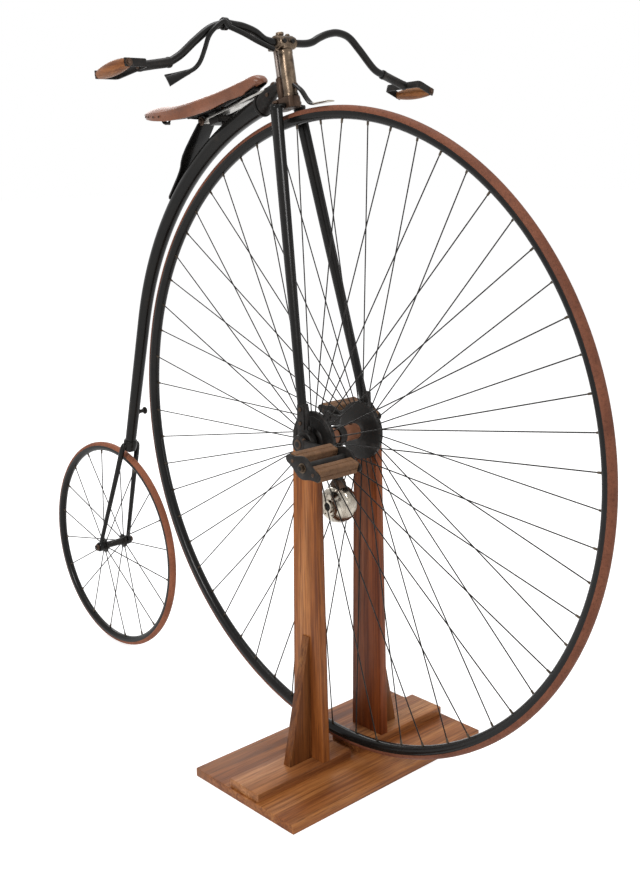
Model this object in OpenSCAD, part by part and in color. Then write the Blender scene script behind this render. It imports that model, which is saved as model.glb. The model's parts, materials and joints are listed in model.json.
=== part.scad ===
// Penny farthing bicycle held upright in a wooden display stand.
// +X is the riding direction, +Y the rider's left, +Z up.
// Origin: centre of the underside of the stand's base, straight below the front axle.

/* [Front wheel] */
// Radius of the front wheel over its tyre
front_wheel_r = 660; // [560:5:760]
// Section radius of the solid front tyre
front_tyre_r = 11; // [9:0.5:13]
// Number of front spokes
front_spoke_count = 60; // [40:4:80]
// Radius of one spoke
spoke_r = 1.3; // [1:0.1:1.8]
// Height of the front tyre above the floor
wheel_lift = 40; // [40:1:70]

/* [Front hub] */
// Radius of the hub's spoke flanges
hub_flange_r = 60; // [50:1:70]
// Distance from the wheel's middle plane to the outer face of a flange
hub_flange_y = 70; // [66:1:74]
// Radius of the hub's barrel
hub_barrel_r = 16; // [13:0.5:20]
// Radius of the turning front axle
axle_r = 10; // [8:0.5:12]

/* [Rear wheel] */
// Radius of the rear wheel over its tyre
rear_wheel_r = 268; // [230:2:300]
// Section radius of the solid rear tyre
rear_tyre_r = 9; // [8:0.5:10]
// Number of rear spokes
rear_spoke_count = 20; // [12:2:28]
// Distance from the front axle back to the rear axle
wheelbase = 855; // [830:5:900]

/* [Cranks and pedals] */
// Distance from the front axle to a pedal's spindle
crank_length = 140; // [120:1:160]
// Width of a pedal between its end plates
pedal_w = 104; // [90:1:120]
// Forward dip of the pedals
pedal_tilt = 17; // [0:1:30]

/* [Fork and head] */
// Rake of the steering axis from upright
head_tilt = 10.5; // [9:0.5:12]
// Distance of the steering axis behind the front axle, at axle height
head_offset = 27; // [20:1:34]
// Distance from the wheel's middle plane to the middle of a fork foot
foot_y = 86; // [86:1:92]
// Radius of the neck's steering spindle
spindle_r = 6; // [5:0.5:7]

/* [Handlebar] */
// Radius of the handlebar tube
bar_r = 8; // [7:0.5:9]
// Distance from the middle plane to the end of the bent bar
bar_end_y = 286; // [270:2:310]
// Length of a wooden grip
grip_length = 92; // [80:1:110]

/* [Backbone] */
// Radius of the backbone tube at the neck
backbone_top_r = 20.5; // [17:0.5:22]
// Radius of the backbone tube at the rear fork
backbone_low_r = 13.5; // [11:0.5:15]
// Gap between the front tyre and the middle of the backbone
backbone_gap = 40; // [38:1:50]

/* [Saddle] */
// Length of the saddle's leather
saddle_length = 336; // [320:2:360]
// Width of the saddle's tail
saddle_width = 200; // [160:5:220]

/* [Stand] */
// Depth of the base, along the riding direction
base_x = 302; // [280:2:340]
// Length of the base, across the bicycle
base_y = 542; // [520:2:600]
// Thickness of the base and of the boards on it
board_t = 18; // [16:0.5:18]
// Width of the boards and of the posts at their feet
board_w = 88; // [80:1:100]
// Width of the posts at their tops
post_top_w = 64; // [58:1:72]
// Thickness of a post
post_t = 19; // [17:0.5:19]
// Height of the gussets above the boards
gusset_h = 262; // [200:2:320]

/* [Hidden] */
fine = 96;
medium = 48;
coarse = 24;
running = 0.05;
seat_gap = 0.2;

axle_z = wheel_lift + front_wheel_r;
front_tyre_c = front_wheel_r - front_tyre_r;
rear_tyre_c = rear_wheel_r - rear_tyre_r;
rear_axle = [-wheelbase, 0, rear_wheel_r];
board_top = 2 * board_t;

// Fork feet, posts and cranks, measured outwards from the middle plane
foot_t = 17;
foot_r = 23;
post_in_y = foot_y - post_t / 2 - 1;
post_out_y = post_in_y + post_t;
crank_t = 10;
crank_in_y = foot_y + foot_t / 2 + 5.5;
crank_out_y = crank_in_y + crank_t;
crank_boss_r = 18;
crank_end_r = 13;
axle_end = 2;
pedal_in_y = crank_out_y + 5.5;
pedal_plate_t = 4;
pedal_pin_r = 6;
pedal_sleeve_r = 9;
pedal_end_y = pedal_in_y + pedal_w + pedal_plate_t / 2 + 6;
post_top_z = axle_z - 8;

// Head: heights along the steering axis above axle height
crown_low = front_wheel_r + 4;
crown_top = crown_low + 24;
head_top = crown_top + 94;
column_x = 27;
column_r = 15.5;
clamp_r = 15;
clamp_h = head_top + clamp_r;
lug_half_t = 9;
bar_x = -head_offset + column_x * cos(head_tilt) - clamp_h * sin(head_tilt);
bar_z = axle_z + column_x * sin(head_tilt) + clamp_h * cos(head_tilt);
leg_top = [12, 31, crown_low + 4];
leg_foot = [-8, foot_y + 1, axle_z + 46];

// Handlebar: height of each point above the clamp, at shares of its half width; the old bar's halves differ a little
bar_shape_right = [[0.1, 0], [0.18, 4], [0.262, 17], [0.36, 25], [0.44, 27.5], [0.53, 28], [0.65, 18], [0.78, -7], [0.9, -34], [1, -50]];
bar_shape_left = [[0.1, 0], [0.2, 1], [0.27, 5], [0.343, 15], [0.433, 24], [0.53, 27.5], [0.64, 20], [0.748, -4], [0.9, -42], [1, -54]];
function bar_shape(side) = side > 0 ? bar_shape_left : bar_shape_right;
bar_crest_y = 0.53 * bar_end_y;
bar_crest_z = 28;
bar_clamp_half = 26;
lever_x = 13.5;
socket_length = 68;
socket_r = 10;
frame_length = grip_length + 12;
frame_depth = 40;
frame_w = 16;
frame_t = 4;
// Right and left grips: the socket's drop, the grip's forward pitch, its outward slope and its shift back
grip_sets = [[10, 10, 0, 22], [22, 3, 22, 5]];
function grip_set(side) = grip_sets[side > 0 ? 1 : 0];

// Backbone: an arc round the front wheel, then a straight run to the rear fork
backbone_r = front_wheel_r + backbone_gap;
backbone_start = 107.5;
backbone_turn = 165.7;
rear_fork_gap = 24;
rear_leg_foot_y = 42;
rear_leg_top_y = 21;
rear_axle_r = 5;
rear_eye_t = 10;

right = -1;
left = 1;

// ---- helpers ----

// Turns a shape drawn round Z so that its axis lies along Y
module along_y() { rotate([-90, 0, 0]) children(); }

// A round rod between two points
module rod(from, to, r1, r2, sides = coarse) {
    run = to - from;
    translate(from)
        rotate([0, acos(run.z / norm(run)), atan2(run.y, run.x)])
            cylinder(r1 = r1, r2 = r2, h = norm(run), $fn = sides);
}

// Moves a shape drawn round the steering axis to its place
module on_head() { translate([-head_offset, 0, axle_z]) rotate([0, -head_tilt, 0]) children(); }

function head_point(p) = [
    -head_offset + p.x * cos(head_tilt) - p.z * sin(head_tilt),
    p.y,
    axle_z + p.x * sin(head_tilt) + p.z * cos(head_tilt)];

// A smooth curve through the points, with a number of steps for each span
function between(a, b, c, d, t) =
    0.5 * (2 * b + (c - a) * t + (2 * a - 5 * b + 4 * c - d) * t * t
        + (3 * b - a - 3 * c + d) * t * t * t);
function smooth(points, steps) = let (last = len(points) - 1) concat(
    [for (i = [0:last - 1], s = [0:steps - 1])
        between(points[max(i - 1, 0)], points[i], points[i + 1], points[min(i + 2, last)], s / steps)],
    [points[last]]);

// A tube along a flat path; flat is the direction square to the path's plane
module tube(path, radii, flat, sides = 16, squash = 1) {
    last = len(path) - 1;
    rings = [for (i = [0:last])
        let (run = path[min(i + 1, last)] - path[max(i - 1, 0)], across = cross(run / norm(run), flat))
            for (k = [0:sides - 1])
                path[i] + radii[i] * (cos(k * 360 / sides) * flat * squash + sin(k * 360 / sides) * across)];
    walls = [for (i = [0:last - 1], k = [0:sides - 1])
        let (a = i * sides + k, b = i * sides + (k + 1) % sides) [a, a + sides, b + sides, b]];
    ends = [[for (k = [0:sides - 1]) k], [for (k = [sides - 1:-1:0]) last * sides + k]];
    polyhedron(points = rings, faces = concat(walls, ends), convexity = 6);
}

// A plain cylinder round the steering axis between two heights
module cylinder_between(r, low, top) {
    translate([0, 0, low]) cylinder(r = r, h = top - low, $fn = medium);
}

// ---- stand ----

module stand_base() {
    color("peru") translate([-base_x / 2, -base_y / 2, 0]) cube([base_x, base_y, board_t]);
}

module stand_board(side) {
    inner = 14;
    inset = 4;
    run = base_y / 2 - inset - inner;
    color("peru")
        translate([-board_w / 2, side * inner + (side < 0 ? -run : 0), board_t])
            cube([board_w, run, board_t]);
}

// A tapered post whose top cradles a fork foot
module stand_post(side) {
    color("peru")
        translate([0, side > 0 ? post_out_y : -post_in_y, 0])
            difference() {
                rotate([90, 0, 0])
                    linear_extrude(post_t)
                        polygon([[-board_w / 2, board_top], [board_w / 2, board_top],
                            [post_top_w / 2, post_top_z], [-post_top_w / 2, post_top_z]]);
                translate([0, -post_t - 1, axle_z])
                    along_y() cylinder(r = foot_r + seat_gap, h = post_t + 2, $fn = medium);
            }
}

module stand_gusset(side) {
    thickness = 20;
    depth = 60;
    tip = 3;
    color("sienna")
        rotate([90, 0, 90])
            translate([0, 0, -thickness / 2])
                linear_extrude(thickness)
                    polygon([[side * post_out_y, board_top], [side * (post_out_y + depth), board_top],
                        [side * (post_out_y + tip), board_top + gusset_h],
                        [side * post_out_y, board_top + gusset_h]]);
}

// ---- fork ----

module fork_crown() {
    color("dimgray")
        on_head() difference() {
            union() {
                cylinder_between(17, crown_low, crown_top);
                translate([0, -17, crown_low]) cube([42, 34, crown_top - crown_low]);
                for (side = [right, left])
                    translate([leg_top.x, side * leg_top.y, crown_low])
                        cylinder(r = 15, h = 12, $fn = medium);
                translate([leg_top.x - 12, -leg_top.y, crown_low]) cube([24, 2 * leg_top.y, 12]);
            }
            translate([0, 0, crown_low + 6])
                cylinder(r = spindle_r + running, h = crown_top, $fn = medium);
        }
}

// A flattened leg, thick fore and aft, that tapers to its foot
module fork_leg(side) {
    top = head_point([leg_top.x, side * leg_top.y, crown_low]);
    foot = [leg_foot.x, side * leg_foot.y, leg_foot.z];
    color("black")
        hull() {
            translate(top) scale([1.75, 1, 1]) cylinder(r = 9.5, h = 0.1, $fn = 32);
            translate(foot) scale([1.6, 1, 1]) cylinder(r = 7.5, h = 0.1, $fn = 32);
        }
}

// The bearing at the foot of a leg, with the axle's bore
module fork_foot(side) {
    color("dimgray")
        translate([0, side * foot_y - foot_t / 2, 0])
            difference() {
                union() {
                    translate([0, 0, axle_z]) along_y() cylinder(r = foot_r, h = foot_t, $fn = fine);
                    translate([-8 - 13, 2, axle_z]) cube([26, foot_t - 4, 46]);
                }
                translate([0, -1, axle_z])
                    along_y() cylinder(r = axle_r + running, h = foot_t + 2, $fn = fine);
            }
}

module head_column() {
    color("tan")
        on_head() translate([column_x, 0, crown_top])
            cylinder(r = column_r, h = head_top - crown_top, $fn = fine);
}

// The clamp round the bar, with the lug behind it that holds the spindle's top
module handlebar_clamp() {
    color("tan")
        difference() {
            union() {
                translate([bar_x, -bar_clamp_half, bar_z])
                    along_y() cylinder(r = clamp_r - 0.1, h = 2 * bar_clamp_half, $fn = fine);
                on_head() translate([column_x, 0, clamp_h + 6]) cylinder(r = 9, h = 15, $fn = medium);
                on_head() translate([-14, -13, clamp_h - lug_half_t]) cube([30, 26, 2 * lug_half_t]);
            }
            on_head() translate([0, 0, clamp_h - lug_half_t - 1])
                cylinder(r = spindle_r + running, h = 2 * lug_half_t + 2, $fn = medium);
            translate([bar_x, -bar_clamp_half - 1, bar_z])
                along_y() cylinder(r = bar_r + running, h = 2 * bar_clamp_half + 2, $fn = fine);
        }
}

// Half of the bent bar: a straight end in the clamp, then up, over and down
module handlebar(side) {
    points = [for (p = bar_shape(side)) [bar_x, side * p.x * bar_end_y, bar_z + p.y]];
    path = concat([[bar_x, 0, bar_z]], smooth(points, 5));
    color("black")
        tube(path, [for (p = path) bar_r], [1, 0, 0]);
}

function bar_end(side) = [bar_x, side * bar_end_y, bar_z + bar_shape(side)[len(bar_shape(side)) - 1].y];
function socket_end(side) = bar_end(side) + [0, side * socket_length, -grip_set(side)[0]];

// Moves a shape drawn at the origin, outwards along +Y, to the end of a socket
module on_socket(side) {
    translate(socket_end(side))
        rotate([0, -grip_set(side)[1], 0])
            rotate([-side * grip_set(side)[2], 0, 0])
                scale([1, side, 1])
                    children();
}

// The socket on the bar's end and the strap frame that carries the grip
module grip_frame(side) {
    back = grip_set(side)[3];
    color("dimgray") {
        rod(bar_end(side), socket_end(side), socket_r, socket_r);
        on_socket(side) {
            translate([-frame_length / 2 - back, -2, -frame_w / 2])
                cube([frame_length, frame_t, frame_w]);
            for (end = [-1, 1])
                translate([end * (frame_length - frame_t) / 2 - frame_t / 2 - back, -2, -frame_w / 2])
                    cube([frame_t, frame_depth + 10, frame_w]);
        }
    }
}

// A barrel-shaped wooden grip between the frame's arms
module grip(side) {
    inner = frame_length - 2 * frame_t - 0.4;
    color("sienna")
        on_socket(side) translate([-inner / 2 - grip_set(side)[3], frame_depth, 0])
            rotate([0, 90, 0])
                rotate_extrude($fn = medium)
                    polygon([[0, 0], [8, 0], [12, inner * 0.25], [13.5, inner * 0.5],
                        [12, inner * 0.75], [8, inner], [0, inner]]);
}

// The brake rod under the bar, its lever and the lever's flared blade
module brake_lever() {
    ring_at = [bar_x, -bar_crest_y, bar_z + bar_crest_z];
    path = smooth([for (p = [[-12, 3], [-34, -11], [-49, -27], [-60, -52], [-71, -74], [-85, -88], [-106, -98]])
        ring_at + [lever_x, p.x, p.y]], 4);
    color("black") {
        difference() {
            union() {
                rod([bar_x + lever_x, -bar_clamp_half - 14, bar_z - 15], ring_at + [lever_x, 0, -6], 5.5, 5.5);
                rod(ring_at + [lever_x, 0, -6], path[0], 5, 5);
                translate(ring_at + [0, -6, 0]) along_y() cylinder(r = bar_r + 5, h = 12, $fn = medium);
            }
            translate(ring_at + [0, -9, 0]) along_y() cylinder(r = bar_r + 1.2, h = 18, $fn = medium);
        }
        tube(path, [for (p = path) 5], [1, 0, 0], 10);
        hull() {
            translate(path[len(path) - 1]) sphere(r = 5, $fn = 16);
            translate(path[len(path) - 1] + [0, -44, -15]) rotate([0, 52, 0])
                translate([-14, -1, -2]) cube([28, 2, 4]);
        }
    }
}

// A curved arm on the head that ends in a shoe over the tyre
module brake_spoon() {
    root = [column_x + column_r - 1, 0, crown_top + 14];
    width = 18;
    color("black")
        on_head() translate([0, width / 2, 0]) rotate([90, 0, 0]) linear_extrude(width)
            polygon([for (p = [[1.2, 14], [8, 9], [24, -7], [39, -31], [97, -45],
                [97, -50.5], [36, -40], [18, -17], [1.2, -2]]) [root.x + p.x, root.z + p.y]]);
}

// ---- backbone ----

function round_wheel(angle) =
    [backbone_r * cos(angle), 0, axle_z + backbone_r * sin(angle)];
backbone_bend = round_wheel(backbone_turn);
straight_run = [-sin(backbone_turn), 0, cos(backbone_turn)];
// How far the straight run goes before it meets the rear fork's crown
straight_length = let (toward = rear_axle - backbone_bend, along = toward * straight_run)
    along - sqrt(along * along - toward * toward + pow(rear_wheel_r + rear_fork_gap, 2));
backbone_low = backbone_bend + straight_run * straight_length;

// The tube's section radius at a share of its length, and the share that a degree of its arc takes
function backbone_section(share) = backbone_top_r + (backbone_low_r - backbone_top_r) * share;
arc_steps = 22;
straight_steps = 6;
backbone_share = arc_steps / (arc_steps + straight_steps) / (backbone_turn - backbone_start);

module backbone() {
    steps = arc_steps;
    arc = [for (i = [0:steps]) round_wheel(backbone_start + (backbone_turn - backbone_start) * i / steps)];
    path = concat(arc, [for (i = [1:straight_steps])
        backbone_bend + straight_run * straight_length * i / straight_steps]);
    last = len(path) - 1;
    color("black")
        tube(path, [for (i = [0:last]) backbone_section(i / last)], [0, 1, 0], 20);
}

// The steering spindle and the lug that joins it to the backbone
module neck() {
    start = round_wheel(backbone_start);
    lug = head_point([0, 0, crown_top + 16]);
    color("dimgray") {
        on_head() {
            translate([0, 0, crown_low + 6.3])
                cylinder(r = spindle_r, h = clamp_h + lug_half_t - crown_low - 6.3, $fn = medium);
            cylinder_between(9, crown_top + 1, crown_top + 42);
        }
        hull() {
            translate(lug) rotate([0, -head_tilt, 0])
                translate([-6, 0, 4]) cylinder(r = 9, h = 22, $fn = 24);
            translate(start) rotate([0, -backbone_start, 0])
                translate([0, 0, -0.3]) cylinder(r = backbone_top_r + 1.5, h = 0.2, $fn = 32);
        }
    }
}

module rear_fork() {
    color("black")
        difference() {
            union() {
                translate(backbone_low) sphere(r = backbone_low_r + 4, $fn = medium);
                for (side = [right, left]) {
                    top = backbone_low + [0, side * rear_leg_top_y, 0];
                    rod(backbone_low, top, 9, 8);
                    translate(top) sphere(r = 8, $fn = coarse);
                    rod(top, rear_axle + [0, side * rear_leg_foot_y, 0], 8, 5);
                    translate(rear_axle + [0, side * rear_leg_foot_y - rear_eye_t / 2, 0])
                        along_y() cylinder(r = 12, h = rear_eye_t, $fn = medium);
                }
            }
            translate(rear_axle + [0, -60, 0])
                along_y() cylinder(r = rear_axle_r + running, h = 120, $fn = medium);
        }
}

module rear_axle_bolt() {
    nut_t = 7;
    nut_y = rear_leg_foot_y + rear_eye_t / 2 + seat_gap + nut_t / 2;
    half = nut_y + nut_t / 2 + 2;
    color("gray")
        translate(rear_axle) {
            translate([0, -half, 0]) along_y() cylinder(r = rear_axle_r, h = 2 * half, $fn = medium);
            for (side = [right, left])
                translate([0, side * nut_y - nut_t / 2, 0])
                    along_y() cylinder(r = 9, h = nut_t, $fn = 6);
        }
}

// ---- saddle ----

// Heights over the top of the front tyre
wheel_top = axle_z + front_wheel_r;
saddle_nose = [-212, 0, wheel_top + 62];
saddle_tail = saddle_nose + [-saddle_length, 0, -56];
spring_back = [-405, 0, wheel_top - 20];
spring_front = [-190, 0, wheel_top + 37];
spring_eye_r = 6;
spring_t = 5;
spring_slope = atan2(spring_back.z - spring_front.z, spring_back.x - spring_front.x);

module saddle_leather() {
    color("sienna")
        hull() {
            translate(saddle_nose + [-22, 0, -8]) rotate([0, -8, 0]) scale([1, 0.9, 0.55])
                sphere(r = 24, $fn = 24);
            translate(saddle_nose + [-170, 0, -34]) scale([1, 1.3, 0.5]) sphere(r = 24, $fn = 24);
            for (side = [right, left])
                translate(saddle_tail + [44, side * (saddle_width / 2 - 42), 0])
                    scale([1, 1, 0.35]) sphere(r = 42, $fn = 24);
        }
}

// Under-frame wires, nose bracket and the clamp on the spring
module saddle_frame() {
    clamp = spring_back + [42, 0, 42 * tan(spring_slope)];
    seat = spring_t / 2 + 0.1;
    nose = saddle_nose + [-34, 0, -27];
    color("black") {
        for (side = [right, left]) {
            rod(clamp + [0, side * 12, 12], nose + [0, side * 6, 0], 3.5, 3.5, 16);
            rod(clamp + [0, side * 12, 12], saddle_tail + [70, side * 62, -20], 3.5, 3.5, 16);
        }
        translate(clamp) rotate([0, -spring_slope, 0])
            translate([-16, -20, -seat - 16]) cube([32, 40, 16]);
    }
}

// The leaf spring from the neck back to the clamp
module saddle_spring() {
    run = spring_back - spring_front;
    color("silver")
        translate([0, -15, 0]) {
            translate(spring_front) rotate([0, -spring_slope, 0])
                translate([0, 0, -spring_t / 2]) cube([norm(run), 30, spring_t]);
            translate(spring_back + [0, -1, 0]) along_y() cylinder(r = spring_eye_r, h = 32, $fn = medium);
        }
}

// The plate that carries the spring's back end down to the backbone, narrower at its foot
module spring_tail() {
    low_angle = 139.5;
    thickness = 5;
    low_r = backbone_r + backbone_section((low_angle - backbone_start) * backbone_share) + thickness / 2 + 0.3;
    run = [low_r * cos(low_angle), 0, axle_z + low_r * sin(low_angle)] - spring_back;
    skip = spring_eye_r + 0.3;
    long = norm(run);
    color("black")
        translate(spring_back) rotate([0, -atan2(run.z, run.x), 0])
            translate([0, 0, -thickness / 2]) linear_extrude(thickness)
                polygon([for (side = [right, left], p = side < 0
                    ? [[skip, 23], [0.35 * long, 26], [0.62 * long, 15], [long, 11]]
                    : [[long, 11], [0.62 * long, 15], [0.35 * long, 26], [skip, 23]])
                    [p.x, side * p.y]]);
}

module mounting_step() {
    drop = 246;
    share = (arc_steps + straight_steps * drop / straight_length) / (arc_steps + straight_steps);
    at = backbone_bend + straight_run * drop + [0, backbone_section(share) + seat_gap, 0];
    color("black")
        translate(at) along_y() {
            cylinder(r = 5, h = 20, $fn = medium);
            translate([0, 0, 17]) cylinder(r = 9, h = 4, $fn = medium);
        }
}

// ---- wheels ----

// A solid round tyre on its centre line
module tyre(centre_r, section_r) {
    along_y() rotate_extrude($fn = fine) translate([centre_r, 0]) circle(r = section_r, $fn = medium);
}

// A crescent rim that holds the inner half of the tyre
module rim(centre_r, section_r, depth) {
    along_y() rotate_extrude($fn = fine)
        difference() {
            translate([centre_r - depth, 0]) circle(r = section_r + 0.6, $fn = medium);
            translate([centre_r, 0]) circle(r = section_r + seat_gap, $fn = medium);
            translate([centre_r + 1, -30]) square([60, 60]);
        }
}

// Spokes from both flanges in turn to the rim
module spokes(count, phase, hub_r, hub_y, rim_r, rim_y) {
    for (i = [0:count - 1])
        let (side = i % 2 == 0 ? right : left, angle = phase + i * 360 / count)
            rotate([0, angle, 0])
                rod([hub_r, side * hub_y, 0], [rim_r, side * rim_y, 0], spoke_r, spoke_r, 16);
}

front_rim_depth = 5;
rear_rim_depth = 4;
front_spoke_phase = 8.2;
rear_spoke_phase = 9;

module front_tyre() {
    color("sienna") translate([0, 0, axle_z]) tyre(front_tyre_c, front_tyre_r);
}

module front_rim() {
    color("black") translate([0, 0, axle_z]) rim(front_tyre_c, front_tyre_r, front_rim_depth);
}

module front_spokes() {
    color("dimgray")
        translate([0, 0, axle_z])
            spokes(front_spoke_count, front_spoke_phase, hub_flange_r - 8, hub_flange_y - 6,
                front_tyre_c - front_tyre_r - front_rim_depth + 2, 2);
}

// Barrel, dished flanges and the axle that turns in the fork feet
module front_hub() {
    half = crank_out_y + axle_end;
    color("dimgray")
        translate([0, 0, axle_z]) {
            along_y() rotate_extrude($fn = fine)
                polygon([[0, -hub_flange_y], [hub_flange_r, -hub_flange_y],
                    [hub_flange_r, 9 - hub_flange_y], [hub_flange_r * 0.62, 13 - hub_flange_y],
                    [hub_barrel_r + 8, 17 - hub_flange_y], [hub_barrel_r, 21 - hub_flange_y],
                    [hub_barrel_r, hub_flange_y - 21], [hub_barrel_r + 8, hub_flange_y - 17],
                    [hub_flange_r * 0.62, hub_flange_y - 13], [hub_flange_r, hub_flange_y - 9],
                    [hub_flange_r, hub_flange_y], [0, hub_flange_y]]);
            translate([0, -half, 0]) along_y() cylinder(r = axle_r, h = 2 * half, $fn = fine);
        }
}

// A crank and its pedal pin; the right one points forward, the left one back
module crank(side) {
    color("dimgray")
        translate([0, 0, axle_z])
            rotate([0, side < 0 ? 0 : 180, 0]) {
                difference() {
                    translate([0, side > 0 ? crank_in_y : -crank_out_y, 0])
                        along_y() {
                            cylinder(r = crank_boss_r, h = crank_t, $fn = medium);
                            translate([crank_length, 0, 0]) cylinder(r = crank_end_r, h = crank_t, $fn = medium);
                            translate([0, -9, 1]) cube([crank_length, 18, crank_t - 2]);
                        }
                    translate([0, -200, 0]) along_y() cylinder(r = axle_r + running, h = 400, $fn = medium);
                }
                translate([crank_length, side > 0 ? crank_out_y - 1 : -pedal_end_y - 4, 0])
                    along_y() cylinder(r = pedal_pin_r, h = pedal_end_y + 4 - crank_out_y + 1, $fn = medium);
            }
}

// ---- pedals ----

pedal_block = [26, 24];
pedal_block_x = 29;

module on_pedal(side) {
    translate([-side * crank_length, 0, axle_z])
        rotate([0, pedal_tilt, 0])
            scale([1, side, 1])
                translate([0, pedal_in_y, 0])
                    children();
}

// Two oval end plates joined by a sleeve that turns on the pedal pin
module pedal_frame(side) {
    color("dimgray")
        on_pedal(side) difference() {
            union() {
                for (y = [0, pedal_w])
                    translate([0, y, 0]) along_y()
                        linear_extrude(pedal_plate_t) hull() {
                            circle(r = 22, $fn = medium);
                            for (end = [-1, 1]) translate([end * 39, 0]) circle(r = 9, $fn = coarse);
                        }
                along_y() cylinder(r = pedal_sleeve_r, h = pedal_w + pedal_plate_t, $fn = medium);
            }
            translate([0, -5, 0]) along_y()
                cylinder(r = pedal_pin_r + running, h = pedal_w + 20, $fn = medium);
        }
}

// Two square rubber blocks, one before and one behind the spindle
module pedal_blocks(side) {
    gap = 0.3;
    color("tan")
        on_pedal(side)
            for (end = [-1, 1])
                translate([end * pedal_block_x - pedal_block.x / 2, pedal_plate_t + gap, -pedal_block.y / 2])
                    cube([pedal_block.x, pedal_w - pedal_plate_t - 2 * gap, pedal_block.y]);
}

// ---- rear wheel ----

rear_flange_y = 30;
rear_flange_r = 17;

module rear_tyre() {
    color("peru") translate(rear_axle) tyre(rear_tyre_c, rear_tyre_r);
}

module rear_rim() {
    color("black") translate(rear_axle) rim(rear_tyre_c, rear_tyre_r, rear_rim_depth);
}

module rear_spokes() {
    color("dimgray")
        translate(rear_axle)
            spokes(rear_spoke_count, rear_spoke_phase, rear_flange_r - 4, rear_flange_y - 2,
                rear_tyre_c - rear_tyre_r - rear_rim_depth + 1.6, 1.5);
}

module rear_hub() {
    boss_y = rear_leg_foot_y - rear_eye_t / 2 - 1.5;
    color("dimgray")
        translate(rear_axle) along_y() rotate_extrude($fn = fine)
            polygon([[rear_axle_r + running, -boss_y], [9, -boss_y], [9, -rear_flange_y],
                [rear_flange_r, -rear_flange_y], [rear_flange_r, 4 - rear_flange_y],
                [9, 8 - rear_flange_y], [9, rear_flange_y - 8],
                [rear_flange_r, rear_flange_y - 4], [rear_flange_r, rear_flange_y],
                [9, rear_flange_y], [9, boss_y], [rear_axle_r + running, boss_y]]);
}

// ---- cyclometer ----

// A drum that hangs between the spokes from a strap round the hub's barrel
module cyclometer() {
    drum_r = 39;
    drum_half = 29;
    drop = 144;
    strap_r = hub_barrel_r + 4;
    strap_w = 18;
    color("silver")
        translate([0, 0, axle_z]) {
            difference() {
                union() {
                    translate([0, -strap_w / 2, 0]) along_y() cylinder(r = strap_r, h = strap_w, $fn = medium);
                    translate([-7, -strap_w / 2, -drop + 20]) cube([14, strap_w, drop - 24]);
                }
                translate([0, -strap_w, 0])
                    along_y() cylinder(r = hub_barrel_r + running, h = 2 * strap_w, $fn = fine);
            }
            translate([0, 0, -drop]) along_y() rotate_extrude($fn = medium)
                polygon([[0, -drum_half - 4], [14, -drum_half - 4], [14, -drum_half], [26, -drum_half],
                    [35, -20], [drum_r, -7], [drum_r, 7], [35, 20], [26, drum_half],
                    [14, drum_half], [14, drum_half + 4], [0, drum_half + 4]]);
        }
}

stand_base();
stand_board(right);  // stand_board_right
stand_board(left);  // stand_board_left
stand_post(right);  // stand_post_right
stand_post(left);  // stand_post_left
stand_gusset(right);  // stand_gusset_right
stand_gusset(left);  // stand_gusset_left
fork_crown();
fork_leg(right);  // fork_leg_right
fork_leg(left);  // fork_leg_left
fork_foot(right);  // fork_foot_right
fork_foot(left);  // fork_foot_left
head_column();
handlebar_clamp();
handlebar(right);  // handlebar_right
handlebar(left);  // handlebar_left
grip_frame(right);  // grip_frame_right
grip_frame(left);  // grip_frame_left
grip(right);  // grip_right
grip(left);  // grip_left
brake_lever();
brake_spoon();
neck();
backbone();
rear_fork();
rear_axle_bolt();
saddle_leather();
saddle_frame();
saddle_spring();
spring_tail();
mounting_step();
front_tyre();
front_rim();
front_spokes();
front_hub();
crank(right);  // crank_right
crank(left);  // crank_left
pedal_frame(right);  // pedal_frame_right
pedal_blocks(right);  // pedal_blocks_right
pedal_frame(left);  // pedal_frame_left
pedal_blocks(left);  // pedal_blocks_left
rear_tyre();
rear_rim();
rear_spokes();
rear_hub();
cyclometer();
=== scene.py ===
"""Looks of the penny farthing on its wooden stand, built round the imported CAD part.

Lengths inside the builders are in millimetres, as in the part's source; Blender gets metres.
"""

import json
import math

import bmesh
import bpy
from mathutils import Matrix, Vector


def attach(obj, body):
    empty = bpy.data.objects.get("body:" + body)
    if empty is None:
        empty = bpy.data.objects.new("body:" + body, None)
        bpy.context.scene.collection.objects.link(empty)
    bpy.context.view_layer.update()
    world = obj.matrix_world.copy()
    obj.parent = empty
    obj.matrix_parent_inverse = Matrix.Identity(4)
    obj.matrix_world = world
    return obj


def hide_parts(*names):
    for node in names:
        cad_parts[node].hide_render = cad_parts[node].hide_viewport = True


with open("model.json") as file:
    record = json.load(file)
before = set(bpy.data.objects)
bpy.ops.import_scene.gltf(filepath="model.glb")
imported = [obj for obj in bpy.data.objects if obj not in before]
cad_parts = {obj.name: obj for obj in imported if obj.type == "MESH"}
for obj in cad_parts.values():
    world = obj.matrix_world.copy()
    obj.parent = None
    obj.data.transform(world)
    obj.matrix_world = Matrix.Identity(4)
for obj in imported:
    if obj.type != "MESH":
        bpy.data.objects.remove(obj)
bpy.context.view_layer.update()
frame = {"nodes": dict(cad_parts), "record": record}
MM = 0.001
AXLE = 700.0


# ---- camera, stage and light ----

def make_camera():
    right = Vector((0.67913781, 0.7338812, -0.01379213))
    up = Vector((-0.10495803, 0.11569146, 0.9877243))
    back = Vector((0.72646793, -0.66935332, 0.15559718))
    data = bpy.data.cameras.new("photo_camera")
    data.sensor_width = 36
    data.lens = 49.05
    data.shift_x = 0
    data.shift_y = -0.1105
    camera = bpy.data.objects.new("photo_camera", data)
    bpy.context.scene.collection.objects.link(camera)
    turn = Matrix((right, up, back)).transposed().to_4x4()
    camera.matrix_world = Matrix.Translation((1.7134, -1.6248, 1.2682)) @ turn
    bpy.context.scene.camera = camera


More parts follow.
